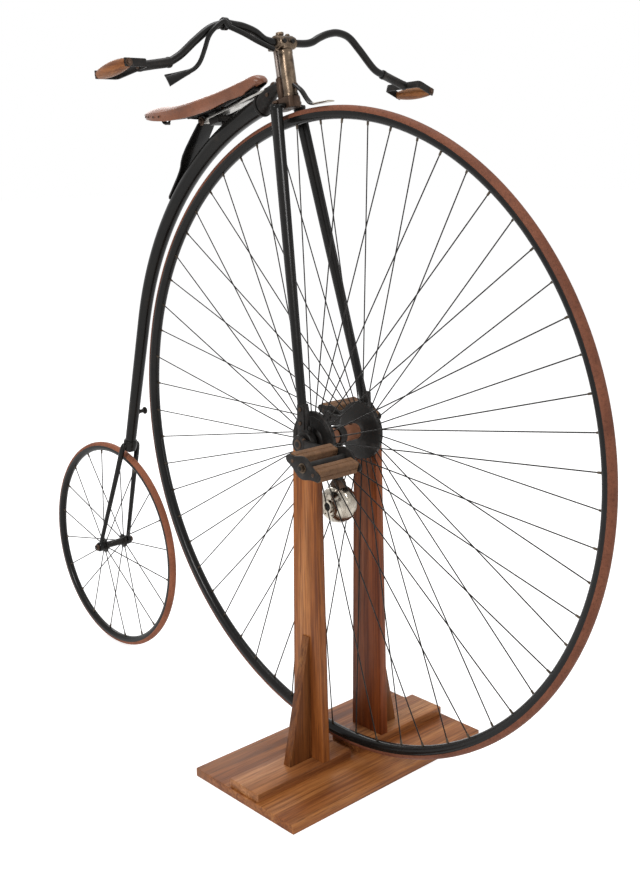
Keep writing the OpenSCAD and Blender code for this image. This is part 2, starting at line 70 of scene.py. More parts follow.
def area_light(name, place, aim, size, watts, colour=(1, 1, 1)):
    data = bpy.data.lights.new(name, "AREA")
    data.shape = "DISK"
    data.size = size
    data.energy = watts
    data.color = colour
    light = bpy.data.objects.new(name, data)
    bpy.context.scene.collection.objects.link(light)
    way = Vector(place) - Vector(aim)
    light.matrix_world = Matrix.Translation(place) @ way.to_track_quat("Z", "Y").to_matrix().to_4x4()


def seen_rays(tree):
    """1 for rays from the camera, a mirror or glass, 0 for light on the object."""
    path = tree.nodes.new("ShaderNodeLightPath")
    total = None
    for output in ("Is Camera Ray", "Is Glossy Ray", "Is Transmission Ray"):
        if total is None:
            total = path.outputs[output]
            continue
        add = tree.nodes.new("ShaderNodeMath")
        add.operation = "MAXIMUM"
        tree.links.new(total, add.inputs[0])
        tree.links.new(path.outputs[output], add.inputs[1])
        total = add.outputs[0]
    return total


def make_stage():
    world = bpy.data.worlds.new("studio")
    bpy.context.scene.world = world
    world.use_nodes = True
    tree = world.node_tree
    tree.nodes.clear()
    ambient = tree.nodes.new("ShaderNodeBackground")
    ambient.inputs["Strength"].default_value = 0.5
    seen = tree.nodes.new("ShaderNodeBackground")
    seen.inputs["Strength"].default_value = 1.0
    for node in (ambient, seen):
        node.inputs["Color"].default_value = (1, 1, 1, 1)
    mix = tree.nodes.new("ShaderNodeMixShader")
    out = tree.nodes.new("ShaderNodeOutputWorld")
    tree.links.new(seen_rays(tree), mix.inputs[0])
    tree.links.new(ambient.outputs[0], mix.inputs[1])
    tree.links.new(seen.outputs[0], mix.inputs[2])
    tree.links.new(mix.outputs[0], out.inputs["Surface"])

    reach = 30
    mesh = bpy.data.meshes.new("floor")
    mesh.from_pydata([(-reach, -reach, 0), (reach, -reach, 0), (reach, reach, 0), (-reach, reach, 0)], [], [(0, 1, 2, 3)])
    floor = bpy.data.objects.new("floor", mesh)
    bpy.context.scene.collection.objects.link(floor)
    paint = bpy.data.materials.new("floor")
    paint.use_nodes = True
    tree = paint.node_tree
    tree.nodes.clear()
    matte = tree.nodes.new("ShaderNodeBsdfDiffuse")
    matte.inputs["Color"].default_value = (0.8, 0.8, 0.8, 1)
    glow = tree.nodes.new("ShaderNodeEmission")
    glow.inputs["Color"].default_value = (1, 1, 1, 1)
    strength = tree.nodes.new("ShaderNodeMath")
    strength.operation = "MULTIPLY"
    strength.inputs[1].default_value = 0.63
    tree.links.new(seen_rays(tree), strength.inputs[0])
    tree.links.new(strength.outputs[0], glow.inputs["Strength"])
    add = tree.nodes.new("ShaderNodeAddShader")
    out = tree.nodes.new("ShaderNodeOutputMaterial")
    tree.links.new(matte.outputs[0], add.inputs[0])
    tree.links.new(glow.outputs[0], add.inputs[1])
    tree.links.new(add.outputs[0], out.inputs["Surface"])
    mesh.materials.append(paint)

    area_light("key", (0.6, -3.2, 2.4), (-0.1, 0, 0.8), 1.1, 62)
    area_light("fill", (3.4, 1.4, 1.6), (-0.1, 0, 0.8), 1.4, 24)
    area_light("top", (-0.6, 0.2, 4.2), (-0.2, 0, 0.8), 1.8, 46)
    area_light("back", (-3.4, 1.6, 2.2), (-0.1, 0, 0.8), 1.6, 24)


# ---- materials ----

class Paint:
    """A procedural material: a Principled shader and the nodes that feed it."""

    def __init__(self, name, metallic=0.0, specular=0.5, coat=0.0, coat_roughness=0.1):
        self.material = bpy.data.materials.new(name)
        self.material.use_nodes = True
        self.tree = self.material.node_tree
        self.shader = self.tree.nodes["Principled BSDF"]
        self.shader.inputs["Metallic"].default_value = metallic
        self.shader.inputs["Specular IOR Level"].default_value = specular
        self.shader.inputs["Coat Weight"].default_value = coat
        self.shader.inputs["Coat Roughness"].default_value = coat_roughness
        self.here = self.tree.nodes.new("ShaderNodeTexCoord").outputs["Object"]

    def node(self, kind, links=(), **settings):
        node = self.tree.nodes.new("ShaderNode" + kind)
        for key, value in settings.items():
            if hasattr(node, key):
                setattr(node, key, value)
            else:
                node.inputs[key.replace("_", " ").title()].default_value = value
        for socket, source in links:
            self.tree.links.new(source, node.inputs[socket])
        return node

    def stretched(self, scale, shift=(0, 0, 0)):
        node = self.node("Mapping", [("Vector", self.here)])
        node.inputs["Scale"].default_value = scale
        node.inputs["Location"].default_value = shift
        return node.outputs[0]

    def noise(self, scale, detail=3.0, roughness=0.55, distortion=0.0, vector=None):
        return self.node("TexNoise", [("Vector", vector or self.here)], scale=scale, detail=detail,
                         roughness=roughness, distortion=distortion).outputs["Fac"]

    def cells(self, scale, vector=None, feature="F1"):
        return self.node("TexVoronoi", [("Vector", vector or self.here)], feature=feature, scale=scale).outputs["Distance"]

    def math(self, operation, a, b=0.0, c=0.0, clamp=False):
        node = self.node("Math")
        node.operation = operation
        node.use_clamp = clamp
        for socket, value in enumerate((a, b, c)):
            if hasattr(value, "is_linked"):
                self.tree.links.new(value, node.inputs[socket])
            else:
                node.inputs[socket].default_value = value
        return node.outputs[0]

    def ramp(self, factor, *stops):
        """Stops are (place, grey) or (place, (r, g, b))."""
        node = self.node("ValToRGB", [("Fac", factor)])
        while len(node.color_ramp.elements) < len(stops):
            node.color_ramp.elements.new(0.5)
        for element, (place, value) in zip(node.color_ramp.elements, stops):
            element.position = place
            grey = isinstance(value, (int, float))
            element.color = (value, value, value, 1) if grey else (*value, 1)
        return node.outputs[0]

    def mix(self, factor, a, b, blend="MIX"):
        node = self.node("Mix")
        node.data_type = "RGBA"
        node.blend_type = blend
        sockets = [s for s in node.inputs if s.enabled]
        for socket, value in zip(sockets, (factor, a, b)):
            if hasattr(value, "is_linked"):
                self.tree.links.new(value, socket)
            elif isinstance(value, (int, float)):
                socket.default_value = value
            else:
                socket.default_value = (*value, 1)
        return [s for s in node.outputs if s.enabled][0]

    def colour(self, value):
        self.tree.links.new(value, self.shader.inputs["Base Color"])
        return self

    def roughness(self, factor, low, high):
        node = self.node("MapRange", [("Value", factor)])
        node.inputs["To Min"].default_value = low
        node.inputs["To Max"].default_value = high
        self.tree.links.new(node.outputs[0], self.shader.inputs["Roughness"])
        return self

    def bump(self, height, strength, distance):
        node = self.node("Bump", [("Height", height)], strength=strength, distance=distance)
        self.tree.links.new(node.outputs[0], self.shader.inputs["Normal"])
        return self


def oak(name, grain, seed, light=1.0, tint=(1, 1, 1)):
    """Satin oak; grain is the axis that the wood's fibres follow. light and tint scale and tint its colours; some
    copies use them for painted shade or painted light.
    """
    paint = Paint(name, specular=0.18, coat=0.05, coat_roughness=0.25)
    axis = "xyz".index(grain)
    shift = (seed * 0.37, seed * 0.61, seed * 0.23)

    def drawn_out(share):
        return paint.stretched(tuple(share if k == axis else 1.0 for k in range(3)), shift)

    def tone(colour):
        return tuple(c * light * t for c, t in zip(colour, tint))

    broad = paint.noise(26, 4, 0.6, 0.15, drawn_out(0.05))
    lines = paint.noise(150, 4, 0.7, 0.0, drawn_out(0.025))
    pores = paint.ramp(paint.noise(760, 2, 0.5, 0, drawn_out(0.03)), (0.56, 0.0), (0.68, 1.0))
    clouds = paint.noise(6, 2, 0.5, 0, drawn_out(0.4))
    dark, middle, pale = tone((0.115, 0.030, 0.006)), tone((0.30, 0.096, 0.022)), tone((0.43, 0.17, 0.05))
    base = paint.ramp(broad, (0.36, dark), (0.47, middle), (0.62, pale))
    base = paint.mix(paint.ramp(lines, (0.44, 0.0), (0.62, 0.8)), base, dark)
    base = paint.mix(paint.ramp(clouds, (0.45, 0.0), (0.75, 0.4)), base, pale)
    base = paint.mix(paint.math("MULTIPLY", pores, 0.5), base, tuple(c * 0.4 for c in dark))
    paint.colour(base)
    paint.roughness(lines, 0.34, 0.52)
    height = paint.math("SUBTRACT", paint.math("MULTIPLY", lines, 0.5), pores)
    return paint.bump(height, 0.3, 0.0003).material


def enamel(name):
    """Old black stove enamel: glossy, with dust, brown thin spots and fine scratches."""
    paint = Paint(name, specular=0.12, coat=0.08, coat_roughness=0.08)
    patches = paint.noise(24, 5, 0.65)
    specks = paint.noise(260, 3, 0.7)
    base = paint.ramp(patches, (0.3, (0.006, 0.006, 0.006)), (0.62, (0.010, 0.009, 0.008)), (0.8, (0.026, 0.019, 0.014)))
    base = paint.mix(paint.ramp(specks, (0.66, 0.0), (0.74, 0.6)), base, (0.07, 0.05, 0.033))
    paint.colour(base).roughness(patches, 0.14, 0.36)
    return paint.bump(paint.math("ADD", paint.noise(60, 3), paint.math("MULTIPLY", specks, 0.5)), 0.25, 0.0004).material


def forged(name, tone=(0.030, 0.028, 0.026), rust=0.35, metallic=0.55):
    paint = Paint(name, metallic=metallic, specular=0.16)
    patches = paint.noise(38, 5, 0.65)
    grit = paint.noise(320, 4, 0.7)
    worn = tuple(min(1, c * 2.6 + 0.01) for c in tone)
    base = paint.ramp(patches, (0.25, tuple(c * 0.7 for c in tone)), (0.55, tone), (0.85, worn))
    base = paint.mix(paint.ramp(grit, (0.55, 0.0), (0.75, rust)), base, (0.11, 0.045, 0.022))
    paint.colour(base).roughness(patches, 0.34, 0.6)
    return paint.bump(paint.math("ADD", patches, paint.math("MULTIPLY", grit, 0.6)), 0.35, 0.0006).material


def nickel(name, bright, dull, dark, low, high, share=0.55, metallic=0.9, patch=46):
    """Plated metal whose plating has dulled in patches."""
    paint = Paint(name, metallic=metallic, specular=0.5)
    patches = paint.noise(patch, 6, 0.6, 0.4)
    streaks = paint.noise(90, 4, 0.6, 0, paint.stretched((1, 1, 0.22)))
    wear = paint.math("ADD", paint.math("MULTIPLY", patches, 0.65), paint.math("MULTIPLY", streaks, 0.35))
    base = paint.ramp(wear, (share - 0.2, bright), (share, dull), (share + 0.12, dark))
    paint.colour(base)
    paint.tree.links.new(paint.ramp(wear, (share - 0.15, low), (share + 0.12, high)), paint.shader.inputs["Roughness"])
    return paint.bump(wear, 0.12, 0.0003).material


def rubber(name, clean, dirty, dark, grey=0.0):
    """Old solid rubber, with fine cracks across it and dirt in patches."""
    paint = Paint(name, specular=0.16)
    broad = paint.noise(9, 4, 0.6)
    grain = paint.noise(210, 4, 0.65)
    base = paint.ramp(broad, (0.32, dirty), (0.55, clean), (0.75, dirty))
    base = paint.mix(paint.ramp(grain, (0.5, 0.0), (0.72, 0.55)), base, dark)
    cracks = paint.ramp(paint.cells(330, feature="DISTANCE_TO_EDGE"), (0.0, 1.0), (0.09, 0.0))
    base = paint.mix(paint.math("MULTIPLY", cracks, 0.4), base, dark)
    paint.colour(base).roughness(grain, 0.5, 0.75)
    return paint.bump(paint.math("SUBTRACT", grain, cracks), 0.3, 0.0004).material


def leather(name, tone, dark, sheen=0.35):
    paint = Paint(name, specular=sheen, coat=sheen * 0.4, coat_roughness=0.25)
    grain = paint.cells(620)
    broad = paint.noise(16, 5, 0.6)
    rub = paint.noise(70, 4, 0.7)
    base = paint.ramp(broad, (0.3, tuple(c * 0.72 for c in tone)), (0.55, tone), (0.8, tuple(min(1, c * 1.25) for c in tone)))
    base = paint.mix(paint.ramp(rub, (0.55, 0.0), (0.75, 0.6)), base, dark)
    paint.colour(base).roughness(broad, 0.26, 0.44)
    return paint.bump(paint.math("ADD", grain, paint.math("MULTIPLY", rub, 0.4)), 0.15, 0.0002).material


PAINTS = {
    "oak": oak("oak_upright", "z", 1.0, 1.08),
    # A darker, redder copy of the oak for the far post: painted shade.
    "oak_far_painted_shade": oak("oak_far_painted_shade", "z", 4.0, 0.62, (1.1, 0.78, 0.7)),
    # A darker copy of the oak for the gussets: painted shade.
    "oak_painted_shade": oak("oak_gusset_painted_shade", "z", 5.0, 0.62),
    "oak_cross": oak("oak_cross", "y", 2.0, 0.95),
    # A lighter, paler copy of the oak for the cross boards: painted light from above.
    "oak_board_painted_light": oak("oak_board_painted_light", "y", 6.0, 1.2, (1, 1.15, 1.5)),
    "worn_steel": forged("worn_steel", (0.066, 0.041, 0.028), 0.5, 0.6),
    "black_enamel": enamel("black_enamel"),
    "forged_steel": forged("forged_steel", (0.020, 0.019, 0.018)),
    "worn_nickel": nickel("worn_nickel", (0.25, 0.185, 0.13), (0.115, 0.082, 0.056), (0.03, 0.022, 0.016), 0.24, 0.44, 0.5),
    "grip_wood": oak("grip_wood", "x", 3.0, 0.85, (1, 1.1, 1.4)),
    "saddle_leather": leather("saddle_leather", (0.20, 0.070, 0.033), (0.075, 0.03, 0.018)),
    # Near-black leather for the saddle's inner skin: painted shade in the nose opening.
    "leather_inside_painted_shade": leather("leather_inside_painted_shade", (0.012, 0.009, 0.008), (0.005, 0.004, 0.004), 0.1),
    "spring_steel": nickel("spring_steel", (0.55, 0.53, 0.50), (0.36, 0.34, 0.31), (0.13, 0.10, 0.08), 0.3, 0.5, 0.62),
    "front_rubber": rubber("front_rubber", (0.215, 0.078, 0.043), (0.135, 0.047, 0.027), (0.055, 0.022, 0.014)),
    "rear_rubber": rubber("rear_rubber", (0.32, 0.112, 0.058), (0.21, 0.072, 0.038), (0.095, 0.038, 0.022)),
    "spoke_steel": forged("spoke_steel", (0.018, 0.017, 0.016), 0.2, 0.7),
    "pedal_rubber": rubber("pedal_rubber", (0.20, 0.105, 0.053), (0.115, 0.058, 0.030), (0.04, 0.02, 0.012)),
    "bright_nickel": nickel("bright_nickel", (0.50, 0.46, 0.39), (0.24, 0.20, 0.16), (0.07, 0.048, 0.034), 0.16, 0.34, 0.6, 1.0, 17),
    "spindle_steel": nickel("spindle_steel", (0.30, 0.255, 0.23), (0.17, 0.135, 0.115), (0.06, 0.042, 0.033), 0.3, 0.5),
    "hub_rust": forged("hub_rust", (0.23, 0.10, 0.055), 0.3, 0.15),
    "nipple": forged("spoke_nipple", (0.07, 0.055, 0.04), 0.3, 0.7),
    # Near-black colour for the cyclometer's holes: painted shade.
    "hole_painted_shade": forged("cyclometer_hole_painted_shade", (0.006, 0.005, 0.005), 0.1, 0.0),
}

node_slots = {entry["node"]: entry["material_slot"] for entry in frame["record"]["subparts"]}
for node_name, node_object in frame["nodes"].items():
    node_object.data.materials.clear()
    node_object.data.materials.append(PAINTS[node_slots[node_name]])

make_camera()
make_stage()


# ---- shapes, in millimetres ----

def between(a, b, c, d, t):
    """The smooth curve that the part's source uses, from b to c."""
    return 0.5 * (2 * b + (c - a) * t + (2 * a - 5 * b + 4 * c - d) * t * t
                  + (3 * b - a - 3 * c + d) * t * t * t)


def smooth(points, steps):
    points = [Vector(p) for p in points]
    last = len(points) - 1
    found = []
    for i in range(last):
        row = (points[max(i - 1, 0)], points[i], points[i + 1], points[min(i + 2, last)])
        found += [between(*row, s / steps) for s in range(steps)]
    return found + [points[last]]


def table_row(rows, x):
    """The row of a table at x, where x runs down the first column."""
    for i in range(len(rows) - 1):
        if rows[i][0] >= x >= rows[i + 1][0] or i == len(rows) - 2:
            share = (x - rows[i][0]) / (rows[i + 1][0] - rows[i][0])
            around = [rows[max(i - 1, 0)], rows[i], rows[i + 1], rows[min(i + 2, len(rows) - 1)]]
            return [between(*(r[k] for r in around), max(0.0, min(1.0, share))) for k in range(1, len(rows[0]))]


def circle(radius, sides, squash=1.0):
    return [(radius * squash * math.cos(k * math.tau / sides), radius * math.sin(k * math.tau / sides)) for k in range(sides)]


def rounded_box(width, height, corner, steps=3):
    outline = []
    for cx, cy, start in ((1, 1, 0), (-1, 1, 90), (-1, -1, 180), (1, -1, 270)):
        for k in range(steps + 1):
            turn = math.radians(start + 90 * k / steps)
            outline.append((cx * (width / 2 - corner) + corner * math.cos(turn),
                            cy * (height / 2 - corner) + corner * math.sin(turn)))
    return outline


def loft(rings, closed=False, capped=True):
    """Points and faces of a skin over rings that all have the same number of points."""
    sides = len(rings[0])
    points = [p for ring in rings for p in ring]
    faces = []
    spans = len(rings) if closed else len(rings) - 1
    for i in range(spans):
        for k in range(sides):
            a, b = i * sides, ((i + 1) % len(rings)) * sides
            n = (k + 1) % sides
            faces.append((a + k, a + n, b + n, b + k))
    if capped and not closed:
        faces.append(tuple(range(sides))[::-1])
        faces.append(tuple((len(rings) - 1) * sides + k for k in range(sides)))
    return points, faces


def sweep(path, outline, flat=None, scale=None, closed=False, capped=True):
    """A loft of one outline along a path. flat is the direction of the outline's first axis."""
    path = [Vector(p) for p in path]
    last = len(path) - 1
    rings = []
    side = None
    for i, p in enumerate(path):
        ahead = path[(i + 1) % len(path)] if closed or i < last else path[i]
        behind = path[i - 1] if closed or i > 0 else path[i]
        run = (ahead - behind).normalized()
        if flat is not None:
            side = Vector(flat)
        elif side is None:
            side = run.orthogonal()
        side = (side - run * side.dot(run)).normalized()
        up = run.cross(side)
        k = 1.0 if scale is None else scale[i]
        rings.append([p + side * (u * k) + up * (v * k) for u, v in outline])
    return loft(rings, closed, capped)


def tube(path, radius, sides=24, flat=None, squash=1.0, capped=True):
    scale = radius if isinstance(radius, (list, tuple)) else [radius] * len(path)
    return sweep(path, circle(1.0, sides, squash), flat, scale, False, capped)


def lathe(profile, at, along, sides=48):
    """A turned shape. The profile is (distance along the axis, radius) in order."""
    axis = Vector(along).normalized()
    side = axis.orthogonal().normalized()
    up = axis.cross(side)
    rings = []
    for run, radius in profile:
        centre = Vector(at) + axis * run
        rings.append([centre + (side * math.cos(k * math.tau / sides) + up * math.sin(k * math.tau / sides)) * max(radius, 0.02)
                      for k in range(sides)])
    return loft(rings)


def rounded(profile, bevel=1.0):
    """The profile with each inner corner cut by a small bevel."""
    found = [profile[0]]
    for i in range(1, len(profile) - 1):
        here = Vector(profile[i])
        for other in (Vector(profile[i - 1]), Vector(profile[i + 1])):
            run = other - here
            reach = min(bevel, run.length * 0.45)
            found.append(tuple(here + run.normalized() * reach))
    return found + [profile[-1]]


def dome(at, along, radius, height=None, sides=20):
    height = radius * 0.7 if height is None else height
    profile = [(-0.5, radius)] + [(height * math.sin(a * math.pi / 10), radius * math.cos(a * math.pi / 10)) for a in range(6)]
    return lathe(profile, at, along, sides)


class Piece:
    """One visible piece: shapes with their paints, then one object that rides on a body."""

    def __init__(self, name, body, slot, *nodes):
        self.name, self.body, self.slot, self.nodes = name, body, slot, nodes
        self.bm = bmesh.new()
        self.paints = []

    def paint_index(self, paint):
        paint = paint or self.slot
        if paint not in self.paints:
            self.paints.append(paint)
        return self.paints.index(paint)

    def add(self, shape, paint=None, matrix=None):
        points, faces = shape
        index = self.paint_index(paint)
        verts = [self.bm.verts.new((matrix @ Vector(p) if matrix else Vector(p)) * MM) for p in points]
        for face in faces:
            new = self.bm.faces.new([verts[i] for i in face])
            new.material_index = index
        return self

    def slab(self, outline, low, high, matrix=None, bevel=1.0, paint=None, segments=2):
        """A flat outline in the matrix's XY plane, thickened along its Z and bevelled."""
        count = len(outline)
        shape = bmesh.new()
        lower = [shape.verts.new((x, y, low)) for x, y in outline]
        upper = [shape.verts.new((x, y, high)) for x, y in outline]
        shape.faces.new(lower[::-1])
        shape.faces.new(upper)
        for k in range(count):
            n = (k + 1) % count
            shape.faces.new((lower[k], lower[n], upper[n], upper[k]))
        bmesh.ops.recalc_face_normals(shape, faces=shape.faces)
        edges = [e for e in shape.edges if e.calc_face_angle(0) > math.radians(28)]
        if bevel:
            bmesh.ops.bevel(shape, geom=edges, offset=bevel, segments=segments, profile=0.6, affect="EDGES", clamp_overlap=True)
        shape.verts.index_update()
        self.add(([v.co.copy() for v in shape.verts], [[v.index for v in f.verts] for f in shape.faces]), paint, matrix)
        shape.free()
        return self

    def nut(self, at, along, across, thick, paint=None):
        """A hexagon nut with its chamfered face towards along."""
        radius = across / math.sqrt(3)
        profile = [(0, radius), (thick * 0.8, radius), (thick, radius * 0.86)]
        return self.add(lathe(profile, at, along, 6), paint)

    def done(self, sharp=34):
        bmesh.ops.remove_doubles(self.bm, verts=self.bm.verts, dist=1e-7)
        bmesh.ops.recalc_face_normals(self.bm, faces=self.bm.faces)
        for face in self.bm.faces:
            face.smooth = True
        for edge in self.bm.edges:
            edge.smooth = edge.calc_face_angle(0) < math.radians(sharp)
        mesh = bpy.data.meshes.new(self.name)
        self.bm.to_mesh(mesh)
        self.bm.free()
        for paint in self.paints:
            mesh.materials.append(PAINTS[paint])
        made = bpy.data.objects.new(self.name, mesh)
        bpy.context.scene.collection.objects.link(made)
        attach(made, self.body)
        if self.nodes:
            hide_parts(*self.nodes)
        return made


def facing(at, z, x):
    """A frame whose Z points along z and whose X lies nearest to x."""
    z = Vector(z).normalized()
    x = Vector(x)
    x = (x - z * x.dot(z)).normalized()
    return Matrix.Translation(Vector(at)) @ Matrix((x, z.cross(x), z)).transposed().to_4x4()


RIGHT, LEFT = -1, 1
SIDES = ((RIGHT, "right"), (LEFT, "left"))
TILT = math.radians(10.5)
HEAD_AXIS = Vector((-math.sin(TILT), 0, math.cos(TILT)))
HEAD_FRONT = Vector((math.cos(TILT), 0, math.sin(TILT)))


def head(x, y, z):
    """A point given in the steering head's own frame."""
    return Vector((-27, y, AXLE)) + HEAD_FRONT * x + HEAD_AXIS * z


ACROSS = Vector((0, 1, 0))
UPRIGHT = Vector((0, 0, 1))
FRONT = Vector((1, 0, 0))


# ---- stand ----

BASE_X, BASE_Y, BOARD_T, BOARD_W = 302, 542, 18, 88
POST_IN, POST_OUT, POST_TOP = 75.5, 94.5, 692

base = Piece("base_board", "fork", "oak", "stand_base")
base.slab([(-BASE_X / 2, -BASE_Y / 2), (BASE_X / 2, -BASE_Y / 2), (BASE_X / 2, BASE_Y / 2), (-BASE_X / 2, BASE_Y / 2)],
          0, BOARD_T, bevel=1.6, paint="oak_cross")
base.done()

for side, word in SIDES:
    board = Piece("cross_board_" + word, "fork", "oak", "stand_board_" + word)
    inner, outer = side * 14, side * (BASE_Y / 2 - 4)
    # The cross boards take the lighter copy of the oak: painted light.
    board.slab([(-BOARD_W / 2, inner), (BOARD_W / 2, inner), (BOARD_W / 2, outer), (-BOARD_W / 2, outer)],
               BOARD_T, 2 * BOARD_T, bevel=1.6, paint="oak_board_painted_light")
    board.done()
    post = Piece("post_" + word, "fork", "oak", "stand_post_" + word)
    notch = [(23.2 * math.cos(a), AXLE + 23.2 * math.sin(a)) for a in
             [math.asin(-8 / 23.2) - k / 12 * (math.pi + 2 * math.asin(-8 / 23.2)) for k in range(13)]]
    outline = [(-44, 36), (44, 36), (32, POST_TOP)] + notch + [(-32, POST_TOP)]
    upright = Matrix(((1, 0, 0, 0), (0, 0, 1, 0), (0, 1, 0, 0), (0, 0, 0, 1)))
    near, far = sorted((side * POST_IN, side * POST_OUT))
    # The far post takes the darker copy of the oak: painted shade.
    post.slab(outline, near, far, upright, bevel=1.3, paint="oak" if side < 0 else "oak_far_painted_shade")
    post.done()
    gusset = Piece("gusset_" + word, "fork", "oak", "stand_gusset_" + word)
    sideways = Matrix(((0, 0, 1, 0), (1, 0, 0, 0), (0, 1, 0, 0), (0, 0, 0, 1)))
    # Both gussets take the darker copy of the oak: painted shade.
    gusset.slab([(side * POST_OUT, 36), (side * (POST_OUT + 60), 36), (side * (POST_OUT + 3), 298), (side * POST_OUT, 298)],
                -10, 10, sideways, bevel=1.2, paint="oak_painted_shade")
    gusset.done()


# ---- fork, crown and head ----

FOOT_Y, CRANK_IN, CRANK_OUT = 86, 100, 110
LEG_TOP = [head(12, s * 31, 668) for s in (-1, 1)]
LEG_FOOT = [Vector((-8, s * 87, 746)) for s in (-1, 1)]

for i, (side, word) in enumerate(SIDES):
    leg = Piece("fork_blade_" + word, "fork", "black_enamel", "fork_leg_" + word)
    rings = []
    for k in range(25):
        t = k / 24
        centre = LEG_TOP[i].lerp(LEG_FOOT[i], t)
        swell = 1 + 0.05 * math.sin(math.pi * min(1, t * 1.6))
        half_x, half_y = (16.6 + (12 - 16.6) * t) * swell * 0.94, (9.5 + (7.5 - 9.5) * t) * swell * 0.97
        rings.append([centre + Vector((half_x * math.cos(a), half_y * math.sin(a), 0))
                      for a in [j * math.tau / 28 for j in range(28)]])
    leg.add(loft(rings))
    leg.done()

    foot = Piece("fork_bearing_" + word, "fork", "forged_steel", "fork_foot_" + word)
    y_in, y_out = side * 77.5, side * 94.5
    foot.add(lathe([(0, 10.1), (0, 21), (1.4, 22.8), (15.6, 22.8), (17, 21), (17, 10.1)], (0, y_in, AXLE), (0, side, 0), 64))
    face = facing((0, side * 85.5, 0), (0, side, 0), FRONT)
    flip = -1 if side > 0 else 1
    cheek = [(-21, 700), (-20, 738), (-19.5, 768), (-15, 778), (0, 778), (3.5, 766), (5, 735), (13, 716), (16, 703)]
    foot.slab([(x, z) for x, z in cheek], min(y_in, y_out) + 2.5, max(y_in, y_out) - 2.5, upright, bevel=1.6)
    foot.slab([(-18, 727), (-17.5, 776), (0.5, 776), (2.5, 727)], *sorted((side * 91, side * 95.2)), upright, bevel=1.1)
    for z in (767, 739):
        foot.nut((-8, side * 95, z), (0, side, 0), 8, 2.6, "worn_steel")
    foot.add(lathe([(0, 3.4), (9, 3.4), (10, 4.6), (14, 4.6), (15, 3)], (6, side * 86, 720), (0.35, 0, 1), 16))
    foot.done()

crown = Piece("crown", "fork", "worn_steel", "fork_crown")
crown.add(lathe(rounded([(664, 0), (664, 16.6), (688, 16.6), (688, 6.1)], 2.2), head(0, 0, 0), HEAD_AXIS, 48))
crown.slab([(2, -16), (36, -16), (42, -9), (42, 9), (36, 16), (2, 16)], 664.5, 688, facing(head(0, 0, 0), HEAD_AXIS, FRONT), bevel=3, segments=3)
for i, (side, word) in enumerate(SIDES):
    rings = []
    for k in range(15):
        t = k / 14
        centre = head(12, side * 31 * t, 671.5 - 3.5 * t * t * t)
        half_x, half_z = 14.5 + 1.6 * t, 7.0 - 0.8 * t
        if t > 0.86:
            closing = math.sqrt(max(0.0, 1 - ((t - 0.86) / 0.145) ** 2))
            half_x, half_z = half_x * max(0.25, closing), half_z * max(0.25, closing)
            centre = centre + Vector((0, side * 9 * (t - 0.86) / 0.14, 0))
        rings.append([centre + HEAD_FRONT * (half_x * math.cos(a)) + HEAD_AXIS * (half_z * math.sin(a))
                      for a in [j * math.tau / 24 for j in range(24)]])
    crown.add(loft(rings), "black_enamel")
    crown.add(lathe([(0, 12.5), (4, 13.6), (8, 13.2), (10, 11.6)], LEG_TOP[i] + Vector((0, 0, -4)), UPRIGHT, 32), "black_enamel")
    crown.nut(head(12, side * 31, 676), HEAD_AXIS, 11, 5, "worn_steel")
crown.done()

column = Piece("steering_column", "fork", "worn_nickel", "head_column")
column.add(lathe([(688.2, 5), (688.2, 15.4), (693, 15.4), (694, 14.4), (696, 14.2), (700, 14.6), (732, 15.1), (766, 15.0),
                  (772, 14.6), (774, 15.3), (780, 15.3), (781.8, 14.6), (781.8, 5)], head(27, 0, 0), HEAD_AXIS, 64))
column.done()

BAR = head(27, 0, 797)
clamp = Piece("bar_clamp", "fork", "worn_nickel", "handlebar_clamp")
clamp.add(lathe([(-26, 8.1), (-26, 11.5), (-25, 12.6), (-20, 12.8), (-19, 14.6), (-14, 14.8), (-9, 14.2), (9, 14.2), (14, 14.8),
                 (19, 14.6), (20, 12.8), (25, 12.6), (26, 11.5), (26, 8.1)], BAR, ACROSS, 56))
clamp.slab([(-13.5, -9), (-9.5, -13), (14, -13), (14, 13), (-9.5, 13), (-13.5, 9)], 788.5, 805.5,
           facing(head(0, 0, 0), HEAD_AXIS, FRONT), bevel=2, segments=3)
clamp.slab([(13, -12.5), (40, -12.5), (40, 12.5), (13, 12.5)], 782.4, 806, facing(head(0, 0, 0), HEAD_AXIS, FRONT), bevel=3, segments=3)
clamp.add(lathe([(803, 3), (803, 8.6), (805, 8.9), (806.5, 8.9), (808, 6.4), (811, 6.2), (812, 8.2), (815.5, 8.6), (817, 7.6), (817.6, 5), (817.8, 1)],
                head(27, -8, 0), HEAD_AXIS, 32))
clamp.add(lathe([(803, 3), (803, 6.4), (808, 6.4), (809, 5.4), (813, 5.2), (815, 3.6), (815.4, 1)], head(27, 12, 0), HEAD_AXIS, 28))
clamp.nut(head(0, 0, 805.3), HEAD_AXIS, 14, 5)
for side, word in SIDES:
    clamp.nut(head(41, side * 11, 797), HEAD_FRONT, 9, 3.6, "forged_steel")
clamp.done()


# ---- handlebar, grips and brake ----

BAR_END_Y = 286
BAR_SHAPES = {
    RIGHT: ((0.1, 0), (0.18, 4), (0.262, 17), (0.36, 25), (0.44, 27.5), (0.53, 28), (0.65, 18), (0.78, -7), (0.9, -34), (1, -50)),
    LEFT: ((0.1, 0), (0.2, 1), (0.27, 5), (0.343, 15), (0.433, 24), (0.53, 27.5), (0.64, 20), (0.748, -4), (0.9, -42), (1, -54))}
GRIP_SETS = {RIGHT: (10, 10, 0, 22), LEFT: (22, 3, 22, 5)}  # socket's drop, forward pitch, outward slope, shift back
FRAME_LONG, FRAME_DEPTH = 104, 40

